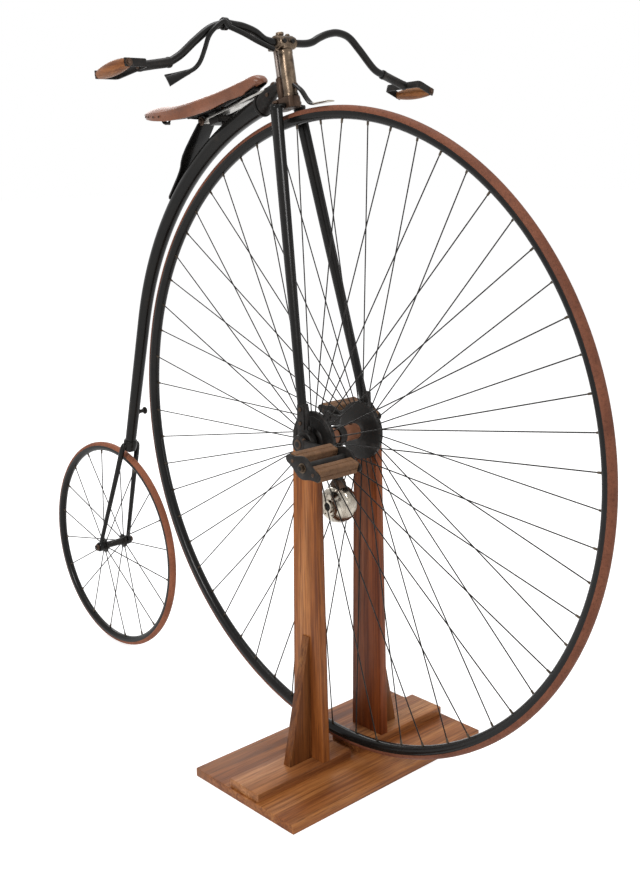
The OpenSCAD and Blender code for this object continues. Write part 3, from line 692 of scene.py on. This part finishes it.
for side, word in SIDES:
    bar = Piece("handlebar_tube_" + word, "fork", "black_enamel", "handlebar_" + word)
    path = [BAR] + smooth([BAR + Vector((0, side * x * BAR_END_Y, z)) for x, z in BAR_SHAPES[side]], 10)
    bar.add(tube(path, 7.9, 28, FRONT))
    bar.done()

    drop, pitch, slope, shift = GRIP_SETS[side]
    bar_end = BAR + Vector((0, side * BAR_END_Y, BAR_SHAPES[side][-1][1]))
    socket_end = bar_end + Vector((0, side * 68, -drop))
    local = (Matrix.Translation(socket_end) @ Matrix.Rotation(math.radians(-pitch), 4, "Y")
             @ Matrix.Rotation(math.radians(-side * slope), 4, "X") @ Matrix.Diagonal((1, side, 1, 1)))
    reach = (socket_end - bar_end).length
    spade = Piece("spade_frame_" + word, "fork", "forged_steel", "grip_frame_" + word)
    spade.add(lathe([(-3, 7.6), (-3, 9.8), (-1.5, 10.4), (2.5, 10.4), (4, 9.4), (reach * 0.5, 9.2), (reach - 8, 9.5), (reach - 3, 10.2), (reach + 2, 9.4)],
                    bar_end, socket_end - bar_end, 36))
    half = FRAME_LONG / 2 - 2.2
    corner = 6
    strap = [(-half, FRAME_DEPTH + 7.6)] + [(-half, y) for y in (30, 15)] + \
            [(-half + corner - corner * math.cos(a), corner - corner * math.sin(a)) for a in [k * math.pi / 12 for k in range(7)]] + \
            [(x, 0) for x in (-25, 0, 25)] + \
            [(half - corner + corner * math.sin(a), corner - corner * math.cos(a)) for a in [k * math.pi / 12 for k in range(7)]] + \
            [(half, y) for y in (15, 30)] + [(half, FRAME_DEPTH + 7.6)]
    spade.add(sweep([(x - shift, y, 0) for x, y in strap], rounded_box(15.6, 4, 1.2), UPRIGHT), None, local)
    for end in (-1, 1):
        at = Vector((end * (half + 1.8) - shift, FRAME_DEPTH, 0))
        spade.add(lathe([(0, 7.4), (1.2, 7.4), (1.2, 4.6), (3.6, 4.4), (4.4, 2.6), (4.6, 0.2)], at, (end, 0, 0), 24), "worn_steel", local)
    spade.add(dome((0, 1.8, 0), (0, 1, 0), 5.5, 3), "worn_steel", local)
    spade.done()

    wood = Piece("grip_wood_" + word, "fork", "grip_wood", "grip_" + word)
    inner = FRAME_LONG - 8.6
    profile = [(0, 0.1)] + [(inner * t, 7.6 + 5.8 * math.sin(math.pi * (0.04 + 0.92 * t)) ** 0.8) for t in [k / 20 for k in range(21)]] + [(inner, 0.1)]
    wood.add(lathe(profile, (-inner / 2 - shift, FRAME_DEPTH, 0), FRONT, 36), None, local)
    wood.done()

RING = BAR + Vector((0, -0.53 * BAR_END_Y, 28))
brake = Piece("brake_lever_rod", "fork", "black_enamel", "brake_lever")
LEVER_X = 13.5
rod_path = [BAR + Vector((LEVER_X, -40, -15)), BAR + Vector((LEVER_X, -80, -2)), BAR + Vector((LEVER_X, -115, 11)), RING + Vector((LEVER_X, 0, -6))]
brake.add(tube(smooth(rod_path, 6), 5.2, 18))
brake.add(lathe([(-6, 8.6), (-6, 11), (-4.5, 12.4), (4.5, 12.4), (6, 11), (6, 8.6)], RING, ACROSS, 32))
brake.add(lathe([(0, 6.4), (1.5, 7), (5, 7), (6.5, 5)], RING + Vector((10, 0, -3)), FRONT, 24))
lever_points = [(0, -6), (-12, 3), (-34, -11), (-49, -27), (-60, -52), (-71, -74), (-85, -88), (-106, -98)]
lever_path = smooth([RING + Vector((LEVER_X, *p)) for p in lever_points], 8)
brake.add(tube(lever_path, [5.0 - 0.8 * k / len(lever_path) for k in range(len(lever_path))], 18, FRONT))
blade_from, blade_to = RING + Vector((LEVER_X, -96, -94)), RING + Vector((LEVER_X, -149, -112.5))
turn = math.radians(52)
edge = Vector((math.cos(turn), 0, -math.sin(turn)))
thin = edge.cross((blade_to - blade_from).normalized()).normalized()
rings = []
for k in range(9):
    t = k / 8
    half_w, half_t = 4.2 + 9.6 * t ** 1.1, 4.0 - 2.4 * t
    centre = blade_from.lerp(blade_to, t)
    rings.append([centre + edge * (u * half_w) + thin * (v * half_t - 1.8 * t * (1 - u * u))
                  for u, v in rounded_box(2, 2, 0.5)])
brake.add(loft(rings))
brake.done()

spoon = Piece("brake_spoon_arm", "fork", "black_enamel", "brake_spoon")
arm = smooth([head(41.8, 0, 709), head(47, 0, 704.5), head(60, 0, 692), head(72, 0, 673), head(84, 0, 660.2), head(104, 0, 657), head(138, 0, 653.9)], 6)
share = [k / (len(arm) - 1) for k in range(len(arm))]
rings = []
for k, p in enumerate(arm):
    run = (arm[min(k + 1, len(arm) - 1)] - arm[max(k - 1, 0)]).normalized()
    normal = run.cross(ACROSS)
    half_w = 6.5 + 4.5 * max(0, share[k] - 0.45) / 0.55
    half_t = 3.6 - 1.9 * share[k]
    rings.append([p + ACROSS * (u * half_w) + normal * (v * half_t) for u, v in rounded_box(2, 2, 0.7)])
cut = int(len(rings) * 0.78)
spoon.add(loft(rings[:cut + 1]))
spoon.add(loft(rings[cut:]), "bright_nickel")
spoon.add(dome(head(46, 0, 708.6), (0.75, 0, 0.65), 4.4, 3), "worn_steel")
spoon.done()


# ---- backbone, neck and rear fork ----

BACKBONE_R = 700
ARC_FROM, ARC_TO = 107.5, 165.7
REAR_AXLE = Vector((-855, 0, 268))


def round_wheel(angle, radius=BACKBONE_R):
    turn = math.radians(angle)
    return Vector((radius * math.cos(turn), 0, AXLE + radius * math.sin(turn)))


def backbone_radius(share):
    return 20.4 - 7 * share


bend = round_wheel(ARC_TO)
run_down = Vector((-math.sin(math.radians(ARC_TO)), 0, math.cos(math.radians(ARC_TO))))
toward = REAR_AXLE - bend
straight = toward.dot(run_down) - math.sqrt(toward.dot(run_down) ** 2 - toward.length_squared + 292 ** 2)
low_end = bend + run_down * straight
spine_path = [round_wheel(ARC_FROM + (ARC_TO - ARC_FROM) * k / 66) for k in range(67)]
spine_path += [bend + run_down * (straight * k / 12) for k in range(1, 13)]
spine_share = [22 / 28 * k / 66 for k in range(67)] + [22 / 28 + 6 / 28 * k / 12 for k in range(1, 13)]
spine = Piece("backbone_tube", "backbone", "black_enamel", "backbone")
spine.add(tube(spine_path, [backbone_radius(s) for s in spine_share], 40, ACROSS))
spine.done()

neck = Piece("neck_and_spindle", "backbone", "forged_steel", "neck")
neck.add(lathe([(670.5, 2), (670.5, 5.0), (672, 5.9), (806, 5.9)], head(0, 0, 0), HEAD_AXIS, 32), "spindle_steel")
neck.add(lathe([(689.2, 6), (689.2, 8.2), (690.5, 8.9), (729, 8.9), (731, 8.0), (733, 6.4), (733.5, 5)], head(0, 0, 0), HEAD_AXIS, 40), "worn_steel")
start, lug = round_wheel(ARC_FROM), head(-4, 0, 718.5)
rings = []
for k in range(17):
    t = k / 16
    ease = t * t * (3 - 2 * t)
    centre = start.lerp(lug, t) + HEAD_AXIS * (3.5 * math.sin(math.pi * t))
    run = (Vector((0.95372, 0, 0.30071))).lerp(HEAD_FRONT * 0.98 + HEAD_AXIS * 0.2, ease).normalized()
    high = 21.6 + (10.2 - 21.6) * ease
    wide = 21.4 + (8.6 - 21.4) * ease
    up = run.cross(ACROSS) * -1
    rings.append([centre + up * (high * math.sin(a)) + ACROSS * (wide * math.cos(a)) for a in [j * math.tau / 36 for j in range(36)]])
neck.add(loft(rings))
neck.add(lathe([(-3, 21), (-3, 22.8), (-1.5, 23.5), (2.5, 23.5), (4, 22.8), (4, 21)], round_wheel(ARC_FROM + 0.5), (0.95372, 0, 0.30071), 44))
neck.add(dome(head(-21, 0, 722), HEAD_AXIS * 1 + HEAD_FRONT * -0.3, 8, 7, 24), "worn_steel")
for side, word in SIDES:
    neck.add(dome(head(-30, side * 14.5, 704), (0, side, 0.15), 4.6, 3.2, 16), "worn_steel")
neck.done()

rear = Piece("rear_fork_blades", "backbone", "black_enamel", "rear_fork")
rear.add(lathe([(-18, 12), (-17, 15.4), (-14, 17), (-2, 17.3), (8, 15.8), (13, 10), (14.5, 3), (14.8, 0.5)], low_end, run_down, 44))
for side, word in SIDES:
    top = low_end + Vector((0, side * 21, 0))
    eye = REAR_AXLE + Vector((0, side * 42, 0))
    outer = (eye - top).normalized()
    blade = [low_end + run_down * -4, low_end + Vector((0, side * 11, 3)), top + outer * 4, top.lerp(eye, 0.3), top.lerp(eye, 0.65), eye - outer * 8]
    blade = smooth(blade, 6)
    rear.add(tube(blade, [8.2 - 3.2 * k / (len(blade) - 1) for k in range(len(blade))], 26, (1, 0, 0)))
    rear.add(lathe([(-5, 5.2), (-5, 11), (-4, 12), (4, 12), (5, 11), (5, 5.2)], eye, ACROSS, 40))
rear.done()

bolt = Piece("rear_axle_and_nuts", "backbone", "forged_steel", "rear_axle_bolt")
bolt.add(lathe([(-56.3, 3.6), (-55.3, 4.9), (55.3, 4.9), (56.3, 3.6)], REAR_AXLE, ACROSS, 28))
for side, word in SIDES:
    at = REAR_AXLE + Vector((0, side * 47.3, 0))
    bolt.add(lathe([(0, 5), (0, 9.6), (1.4, 9.6), (1.4, 5)], at, (0, side, 0), 28))
    bolt.add(lathe([(1.4, 8.7), (5.6, 8.7), (6.9, 7.6)], at, (0, side, 0), 6), "worn_steel")
bolt.done()


# ---- saddle ----

# Distance back, half width, then heights: middle of the top, edge of the top, lower edge
SADDLE = [
    (-206, 12, 1417, 1412, 1398), (-210, 16, 1422, 1416, 1394), (-218, 19, 1427.5, 1420.5, 1390.5),
    (-232, 21, 1429.5, 1422, 1387.5), (-257, 25.5, 1422.5, 1415.5, 1384), (-290, 38, 1412, 1403.5, 1377.5),
    (-328, 57, 1400.5, 1389, 1361), (-365, 78, 1391, 1376.5, 1349), (-400, 92.5, 1385, 1367, 1342.5),
    (-440, 99, 1381.5, 1362, 1340), (-480, 98.5, 1381.5, 1361, 1341.5), (-508, 92, 1380.5, 1360.5, 1344.5),
    (-528, 82, 1376.5, 1358.5, 1347), (-540, 70, 1370, 1356.5, 1348.5), (-546.5, 56, 1361.5, 1354, 1350)]


def saddle_ring(x, inset):
    """One crosswise outline of the leather, from its lower right edge over the top."""
    half, middle, edge, low = table_row(SADDLE, x)
    half, middle, edge = half - inset, middle - inset, edge - inset * 0.8
    band = []
    for k in range(7):
        t = k / 6
        bulge = 1.0 - 0.045 * t - 0.02 * math.sin(math.pi * t)
        band.append((half * bulge, edge - 2.6 - (edge - 2.6 - low) * t))
    top = []
    for k in range(1, 13):
        s = math.cos(k / 13 * math.pi / 2)
        arch = (1 - s ** 2.6) ** 0.85
        top.append((half * (0.995 * math.sin((1 - k / 13) * math.pi / 2) ** 0.9), edge - 2.6 + (middle - edge + 2.6) * arch))
    side = band[::-1] + top
    set_back = 46 * max(0.0, 1 - (-205 - x) / 90)
    points = []
    for sign, row in ((-1, side), (0, [(0, middle)]), (1, side[::-1])):
        for y, z in row:
            drop = max(0.0, (middle - z) / max(6.0, middle - low))
            points.append(Vector((x - set_back * drop ** 1.4, sign * y, z)))
    return points


saddle = Piece("saddle_top", "backbone", "saddle_leather", "saddle_leather")
stations = smooth([(row[0], 0, 0) for row in SADDLE], 4)
outside = [saddle_ring(s.x, 0) for s in stations]
inside = [saddle_ring(s.x, 3.4) for s in stations]
count = len(outside[0])
# The inner skin takes the near-black leather: painted shade.
for skin, paint in ((outside, "saddle_leather"), (inside, "leather_inside_painted_shade")):
    points, faces = loft(skin, capped=False)
    lower_edge = [f for f in faces if not (f[0] % count == count - 1)]
    saddle.add((points, lower_edge), paint)
rim_points = outside[0] + inside[0] + outside[-1] + inside[-1]
rim_faces = []
for k in range(count - 1):
    rim_faces.append((k, k + 1, count + k + 1, count + k))
    rim_faces.append((2 * count + k, 2 * count + k + 1, 3 * count + k + 1, 3 * count + k))
saddle.add((rim_points, rim_faces), "saddle_leather")
for k in (0, count - 1):
    edge_points = [ring[k] for ring in outside] + [ring[k] for ring in inside]
    saddle.add((edge_points, [(i, i + 1, len(stations) + i + 1, len(stations) + i) for i in range(len(stations) - 1)]), "saddle_leather")
for side, word in SIDES:
    for x, rise in ((-452, 0.45), (-474, 0.42), (-496, 0.42), (-516, 0.4)):
        half, middle, edge, low = table_row(SADDLE, x)
        saddle.add(dome((x, side * (half * 0.985 - 0.4), low + (edge - low) * rise), (0.0, side, 0.12), 2.3, 1.4, 12), "worn_steel")
saddle.done(40)

CLAMP = Vector((-363, 0, 1340 + 42 * math.tan(math.atan2(57, 215))))
LEAF = Vector((215, 0, 57)).normalized()
LEAF_UP = Vector((-LEAF.z, 0, LEAF.x))
under = Piece("saddle_wires_and_clamp", "backbone", "forged_steel", "saddle_frame")
for side, word in SIDES:
    clamp_at = CLAMP + Vector((0, side * 12, 12))
    front_wire = smooth([clamp_at + Vector((-8, 0, 1)), clamp_at, clamp_at.lerp(Vector((-246, side * 6, 1395)), 0.5) + Vector((0, side * 2, 2)),
                         Vector((-250, side * 7, 1394)), Vector((-240, side * 3, 1398))], 8)
    under.add(tube(front_wire, 3.3, 16))
    back_wire = smooth([clamp_at + Vector((6, 0, 1)), clamp_at + Vector((-6, side * 3, 0.5)), Vector((-410, side * 33, 1352)), Vector((-448, side * 50, 1347)),
                        Vector((-482, side * 64, 1346)), Vector((-500, side * 66, 1349))], 8)
    under.add(tube(back_wire, 3.3, 16))
    coil = [Vector((-486 + 12 * math.cos(a), side * (58 - a * 1.1), 1347 - 2 + 9 * math.sin(a))) for a in [k * math.tau / 14 for k in range(26)]]
    under.add(tube(coil, 2.7, 12))
    under.nut(clamp_at + Vector((0, 0, 2)), UPRIGHT, 9, 4, "worn_steel")
block = facing(CLAMP, LEAF_UP, LEAF)
under.slab([(-16, -19), (16, -19), (16, 19), (-16, 19)], -18.4, -3, block, bevel=2.4, segments=3)
under.slab([(-12, -19), (12, -19), (12, 19), (-12, 19)], 3, 9, block, bevel=1.8)
cantle = smooth([Vector((-470, -80, 1357)), Vector((-505, -72, 1356)), Vector((-524, -44, 1358)), Vector((-527, 0, 1360)), Vector((-524, 44, 1358)),
                 Vector((-505, 72, 1356)), Vector((-470, 80, 1357))], 7)
under.add(sweep(cantle, rounded_box(9, 3.4, 1), UPRIGHT))
under.slab([(-10, -9), (10, -9), (10, 9), (-10, 9)], -3.4, 3.4, facing((-243, 0, 1399), (-0.28, 0, 1), FRONT), bevel=1.6)
strut_top, strut_low = Vector((-355, 0, 1346)), Vector((-346, 0, 1329.5))
under.add(tube([strut_top, strut_low], 4.2, 18))
under.done()

leaf = Piece("leaf_spring", "backbone", "spring_steel", "saddle_spring")
spring_front, spring_back = Vector((-190, 0, 1397)), Vector((-405, 0, 1340))
strip = facing(spring_back, LEAF_UP, LEAF)
long = (spring_front - spring_back).length
outline = [(6, -15), (long - 12, -15), (long - 5, -13), (long - 1, -8), (long, 0), (long - 1, 8), (long - 5, 13), (long - 12, 15), (6, 15)]
leaf.slab(outline, -2.4, 2.4, strip, bevel=0.8)
leaf.add(lathe([(-16, 3), (-16, 5.6), (-15.4, 6), (15.4, 6), (16, 5.6), (16, 3)], spring_back, ACROSS, 32))
for side, word in SIDES:
    leaf.add(lathe([(0, 4), (0, 9.6), (2.6, 9.6), (3.6, 8.6), (3.6, 5), (5.4, 4.6), (6, 2.6), (6.1, 0.4)], spring_back + Vector((0, side * 16, 0)), (0, side, 0), 28), "worn_steel")
for share in (0.955,):
    leaf.nut(spring_back + LEAF * (long * share) + LEAF_UP * 2.2, LEAF_UP, 11, 5, "worn_steel")
leaf.done()

TAIL_ANGLE = 139.5
tail_share = (TAIL_ANGLE - ARC_FROM) / (ARC_TO - ARC_FROM) * 22 / 28
tail_end = round_wheel(TAIL_ANGLE, BACKBONE_R + 20.5 - 7 * tail_share + 2.8)
tail_run = tail_end - spring_back
tail_long = tail_run.length
tail_run.normalize()
tail = Piece("spring_tail_plate", "backbone", "black_enamel", "spring_tail")
half_rows = [(6.5, 22), (12, 23), (0.2 * tail_long, 25), (0.35 * tail_long, 26), (0.44 * tail_long, 25), (0.52 * tail_long, 21.5),
             (0.58 * tail_long, 17), (0.64 * tail_long, 14.2), (0.72 * tail_long, 12.6), (0.97 * tail_long, 11), (tail_long, 8.5)]
outline = [(x, -y) for x, y in half_rows] + [(x, y) for x, y in half_rows[::-1]]
plate_frame = facing(spring_back, tail_run.cross(ACROSS) * -1, tail_run)
tail.slab(outline, -2.4, 2.4, plate_frame, bevel=0.9)
normal = (tail_run.cross(ACROSS) * -1).normalized()
if normal.x > 0:
    normal = -normal
for share in (0.76, 0.9):
    tail.add(dome(spring_back + tail_run * (tail_long * share) + normal * 2.2, normal, 5.4, 3.4, 20), "worn_steel")
tail.done()

step = Piece("step_stub", "backbone", "forged_steel", "mounting_step")
step_share = (22 + 6 * 246 / straight) / 28
step_at = bend + run_down * 246 + Vector((0, 20.5 - 7 * step_share + 0.2, 0))
step.add(lathe([(0, 6.6), (1.2, 6.6), (2.2, 4.9), (15, 4.6), (16.4, 8.2), (17.4, 9), (20, 9), (21, 8)], step_at, ACROSS, 28))
step.done()


# ---- wheels ----

def revolve(outline, centre, steps):
    """A ring round a sideways axis. The outline is (radius, distance to the left)."""
    rings = []
    for k in range(steps):
        turn = k * math.tau / steps
        rings.append([Vector(centre) + Vector((r * math.cos(turn), y, r * math.sin(turn))) for r, y in outline])
    return loft(rings, closed=True)


def tyre_outline(middle, section):
    found = []
    for k in range(28):
        turn = k * math.tau / 28
        r = section * (1 - 0.022 * max(0.0, math.cos(turn)) ** 6)
        found.append((middle + r * math.cos(turn), r * math.sin(turn)))
    return found


def rim_outline(middle, section, depth):
    """A crescent that holds the tyre's inner half, with a rolled lip at each side."""
    outer = [(middle - depth + (section + 0.5) * math.cos(a), (section + 0.5) * math.sin(a))
             for a in [math.radians(64 + 232 * k / 20) for k in range(21)]]
    inner = [(middle + (section + 0.25) * math.cos(a), (section + 0.25) * math.sin(a))
             for a in [math.radians(268 - 176 * k / 18) for k in range(19)]]
    outer = [p for p in outer if p[0] < middle + 0.6]
    return outer + inner


def spoke_set(piece, count, phase, hub, rim, centre, radius):
    for k in range(count):
        side = RIGHT if k % 2 == 0 else LEFT
        turn = math.radians(phase + k * 360 / count)
        out = Vector((math.cos(turn), 0, -math.sin(turn)))
        a = Vector(centre) + out * hub[0] + Vector((0, side * hub[1], 0))
        b = Vector(centre) + out * rim[0] + Vector((0, side * rim[1], 0))
        way = (b - a).normalized()
        piece.add(tube([a, b], radius, 8))
        piece.add(lathe([(0, radius * 1.5), (6, radius * 1.5), (7.5, radius)], a, way, 8))
        piece.add(lathe([(0, radius * 0.9), (1.2, radius * 1.7), (9, radius * 1.9), (11, radius * 1.7)], b - way * 11, way, 8), "nipple")


HUB = Vector((0, 0, AXLE))
tyre = Piece("front_tyre_ring", "front_wheel", "front_rubber", "front_tyre")
tyre.add(revolve(tyre_outline(649, 11), HUB, 288))
tyre.done()
rim = Piece("front_rim_ring", "front_wheel", "black_enamel", "front_rim")
rim.add(revolve(rim_outline(649, 11, 5), HUB, 240))
rim.done()
wires = Piece("front_spoke_set", "front_wheel", "spoke_steel", "front_spokes")
spoke_set(wires, 60, 8.2, (52, 64), (635, 2), HUB, 1.28)
wires.done()

hub = Piece("front_hub_shell", "front_wheel", "forged_steel", "front_hub")
half_hub = [(15, 16.0), (50, 16.0), (51.5, 17.2), (54, 24), (56.6, 36), (59, 52), (60.6, 58.4), (62, 60), (69, 60), (70, 58.8), (69.8, 50), (67.2, 47), (66.8, 26), (69.6, 22), (70, 12), (70, 10)]
hub.add(lathe([(-run, r) for run, r in half_hub[::-1]] + half_hub, HUB, ACROSS, 96))
hub.add(lathe([(-112, 8.2), (-111, 9.9), (-70, 9.9), (-69, 9)], HUB, ACROSS, 40), "worn_steel")
hub.add(lathe([(69, 9), (70, 9.9), (111, 9.9), (112, 8.2)], HUB, ACROSS, 40), "worn_steel")
hub.add(lathe([(-49.5, 16.1), (-48, 16.5), (-9.6, 16.2)], HUB, ACROSS, 64), "hub_rust")
hub.add(lathe([(9.6, 16.2), (48, 16.5), (49.5, 16.1)], HUB, ACROSS, 64), "hub_rust")
for side, word in SIDES:
    hub.add(lathe([(0, 4), (0, 6.2), (1.8, 6.2), (2.2, 4)], HUB + Vector((0, side * 110.2, 0)), (0, side, 0), 24))
    hub.add(lathe([(0, 3.2), (3.5, 3.2), (4, 2)], HUB + Vector((0, side * 35, 15.2)), UPRIGHT, 14), "worn_steel")
hub.done()


def crank_outline(boss, end, length, waist):
    """Round ends joined by a bar that is narrowest near its middle."""
    found = []
    for k in range(21):
        turn = math.radians(38 + 284 * k / 20)
        found.append((boss * math.cos(turn), boss * math.sin(turn)))
    found += [(boss + 12, -waist), (length * 0.5, -waist * 0.93), (length - end - 6, -waist * 0.9)]
    for k in range(17):
        turn = math.radians(-132 + 264 * k / 16)
        found.append((length + end * math.cos(turn), end * math.sin(turn)))
    return found + [(length - end - 6, waist * 0.9), (length * 0.5, waist * 0.93), (boss + 12, waist)]


for side, word in SIDES:
    crank = Piece("crank_arm_" + word, "front_wheel", "forged_steel", "crank_" + word)
    ahead = Vector((-side, 0, 0))
    outline_frame = facing(HUB, (0, side, 0), ahead)
    crank.slab(crank_outline(17.8, 12.8, 140, 8.9), 101, 109, outline_frame, bevel=1.5)
    crank.add(lathe([(100, 10), (100, 15.5), (100.8, 16.4), (109.2, 16.4), (110, 15.5), (110, 10)], HUB, (0, side, 0), 48))
    pin = HUB + ahead * 140
    crank.add(lathe([(100.2, 8), (100.2, 10.4), (109.8, 10.4), (110, 8.4), (111, 5.9), (224, 5.9), (224.4, 4.4), (231, 4.4), (231.4, 3.6)], pin, (0, side, 0), 32))
    crank.nut(pin + Vector((0, side * 224.6, 0)), (0, side, 0), 12, 5.4, "worn_nickel")
    crank.add(lathe([(-12, 3.2), (12.6, 3.2), (13.4, 2.4)], HUB + ahead * 12.5 + Vector((0, side * 105, 0)), UPRIGHT, 14), "worn_steel")
    crank.nut(HUB + ahead * 12.5 + Vector((0, side * 105, 8.4)), UPRIGHT, 8, 4, "worn_steel")
    crank.done()

PEDAL_QUARTER = [(47.6, 0), (46.6, 4.2), (43.2, 7.4), (38, 8.8), (31, 10.2), (24.5, 12.4), (18, 15.8), (12, 19), (6, 21.2)]
pedal_outline = PEDAL_QUARTER + [(0, 21.8)] + [(-x, y) for x, y in PEDAL_QUARTER[::-1]] \
    + [(-x, -y) for x, y in PEDAL_QUARTER[1:]] + [(0, -21.8)] + [(x, -y) for x, y in PEDAL_QUARTER[:0:-1]]


def grooved(width, height, corner, groove):
    """A rounded oblong with a narrow groove along the middle of each face."""
    found = []
    for x, y in rounded_box(width, height, corner, 4):
        found.append((x, y))
    w, h = width / 2, height / 2
    right_notch = [(w, -groove), (w - groove, 0), (w, groove)]
    top_notch = [(groove, h), (0, h - groove), (-groove, h)]
    left_notch = [(-w, groove), (-w + groove, 0), (-w, -groove)]
    low_notch = [(-groove, -h), (0, -h + groove), (groove, -h)]
    return found[:5] + top_notch + found[5:10] + left_notch + found[10:15] + low_notch + found[15:] + right_notch


for side, word in SIDES:
    place = Matrix.Translation(Vector((-side * 140, 0, AXLE))) @ Matrix.Rotation(math.radians(17), 4, "Y") \
        @ Matrix.Diagonal((1, side, 1, 1)) @ Matrix.Translation((0, 115.5, 0))
    pedal = Piece("pedal_plates_" + word, "pedal_" + word, "forged_steel", "pedal_frame_" + word)
    flat = place @ Matrix(((1, 0, 0, 0), (0, 0, 1, 0), (0, 1, 0, 0), (0, 0, 0, 1)))
    for y in (0, 104):
        pedal.slab(pedal_outline, y + 0.1, y + 3.9, flat, bevel=0.9)
    pedal.add(lathe([(4, 6.1), (4, 8.9), (10, 8.9), (12, 8.0), (96, 8.0), (98, 8.9), (104, 8.9), (104, 6.1)], (0, 0, 0), ACROSS, 32), None, place)
    for x in (-1, 1):
        pedal.add(lathe([(-1.6, 0.2), (-1.5, 2.6), (-0.2, 3.8), (108.2, 3.8), (109.4, 2.6), (109.5, 0.2)], (x * 29, 0, 0), ACROSS, 20), "worn_steel", place)
    pedal.add(lathe([(108, 6.2), (108, 9.6), (109.4, 9.2), (109.4, 6.2)], (0, 0, 0), ACROSS, 28), "worn_nickel", place)
    pedal.add(lathe([(-1.2, 6.2), (-1.2, 9.4), (0, 9.6), (0, 6.2)], (0, 0, 0), ACROSS, 28), "worn_steel", place)
    pedal.done()
    blocks = Piece("pedal_rubbers_" + word, "pedal_" + word, "pedal_rubber", "pedal_blocks_" + word)
    for x in (-1, 1):
        section = grooved(25.6, 23.6, 3.4, 1.3)
        rings = []
        for y, size in ((4.4, 0.93), (5.6, 1.0), (30, 1.0), (54, 0.992), (78, 1.0), (102.4, 1.0), (103.6, 0.93)):
            rings.append([Vector((x * 29 + u * size, y, v * size)) for u, v in section])
        blocks.add(loft(rings), None, place)
    blocks.done()

tyre = Piece("rear_tyre_ring", "rear_wheel", "rear_rubber", "rear_tyre")
tyre.add(revolve(tyre_outline(259, 9), REAR_AXLE, 192))
tyre.done()
rim = Piece("rear_rim_ring", "rear_wheel", "black_enamel", "rear_rim")
rim.add(revolve(rim_outline(259, 9, 4), REAR_AXLE, 160))
rim.done()
wires = Piece("rear_spoke_set", "rear_wheel", "spoke_steel", "rear_spokes")
spoke_set(wires, 20, 9, (13, 28), (247.6, 1.5), REAR_AXLE, 1.28)
wires.done()
hub = Piece("rear_hub_shell", "rear_wheel", "forged_steel", "rear_hub")
half_hub = [(0, 8.4), (20, 8.6), (24, 9.2), (26.4, 15.8), (27.4, 17), (29.2, 17), (30, 16), (30, 9.4), (33, 9), (34.8, 8.8), (35.5, 8.0), (35.5, 5.2)]
hub.add(lathe([(-run, r) for run, r in half_hub[:0:-1]] + half_hub, REAR_AXLE, ACROSS, 48))
hub.done()


# ---- cyclometer ----

meter = Piece("cyclometer_drum", "cyclometer", "bright_nickel", "cyclometer")
DRUM = HUB + Vector((0, 0, -144))
half_drum = [(0, 38.9), (6.4, 38.7), (7.2, 37.6), (8.4, 38.2), (14, 36.6), (19, 35), (24, 30.4), (27, 27), (28.6, 25.6), (29, 23), (29, 14.4), (32, 13.8), (33, 12.6), (33, 8.6), (30.4, 7.6), (30.2, 0.4)]
meter.add(lathe([(-run, r) for run, r in half_drum[:0:-1]] + half_drum, DRUM, ACROSS, 72))
for side, word in SIDES:
    # A near-black disc in each hole: painted shade.
    meter.add(lathe([(30.3, 0.3), (30.5, 7.4), (31.2, 7.5)], DRUM, (0, side, 0), 32), "hole_painted_shade")
    for k in range(6):
        turn = k * math.tau / 6
        meter.add(dome(DRUM + Vector((20 * math.cos(turn), side * 28.9, 20 * math.sin(turn))), (0, side, 0), 1.9, 1.2, 12), "worn_steel")
meter.slab([(-6.6, -120), (6.6, -120), (6.6, -21), (-6.6, -21)], -8.6, 8.6,
           Matrix(((1, 0, 0, 0), (0, 0, 1, 0), (0, 1, 0, AXLE), (0, 0, 0, 1))), bevel=1.6, paint="forged_steel")
meter.slab([(-15, -110), (15, -110), (11, -98), (6.4, -92), (-6.4, -92), (-11, -98)], -11, 11,
           Matrix(((1, 0, 0, 0), (0, 0, 1, 0), (0, 1, 0, AXLE), (0, 0, 0, 1))), bevel=2.4, paint="worn_steel")
meter.add(lathe([(-9, 16.1), (-9, 19.2), (-8.2, 20), (8.2, 20), (9, 19.2), (9, 16.1)], HUB, ACROSS, 56), "forged_steel")
meter.nut(HUB + Vector((0, 0, -23.5)) + Vector((6, 0, 0)), FRONT, 8, 3.4, "worn_steel")
meter.done()


scene = bpy.context.scene
scene.view_settings.view_transform = "Standard"
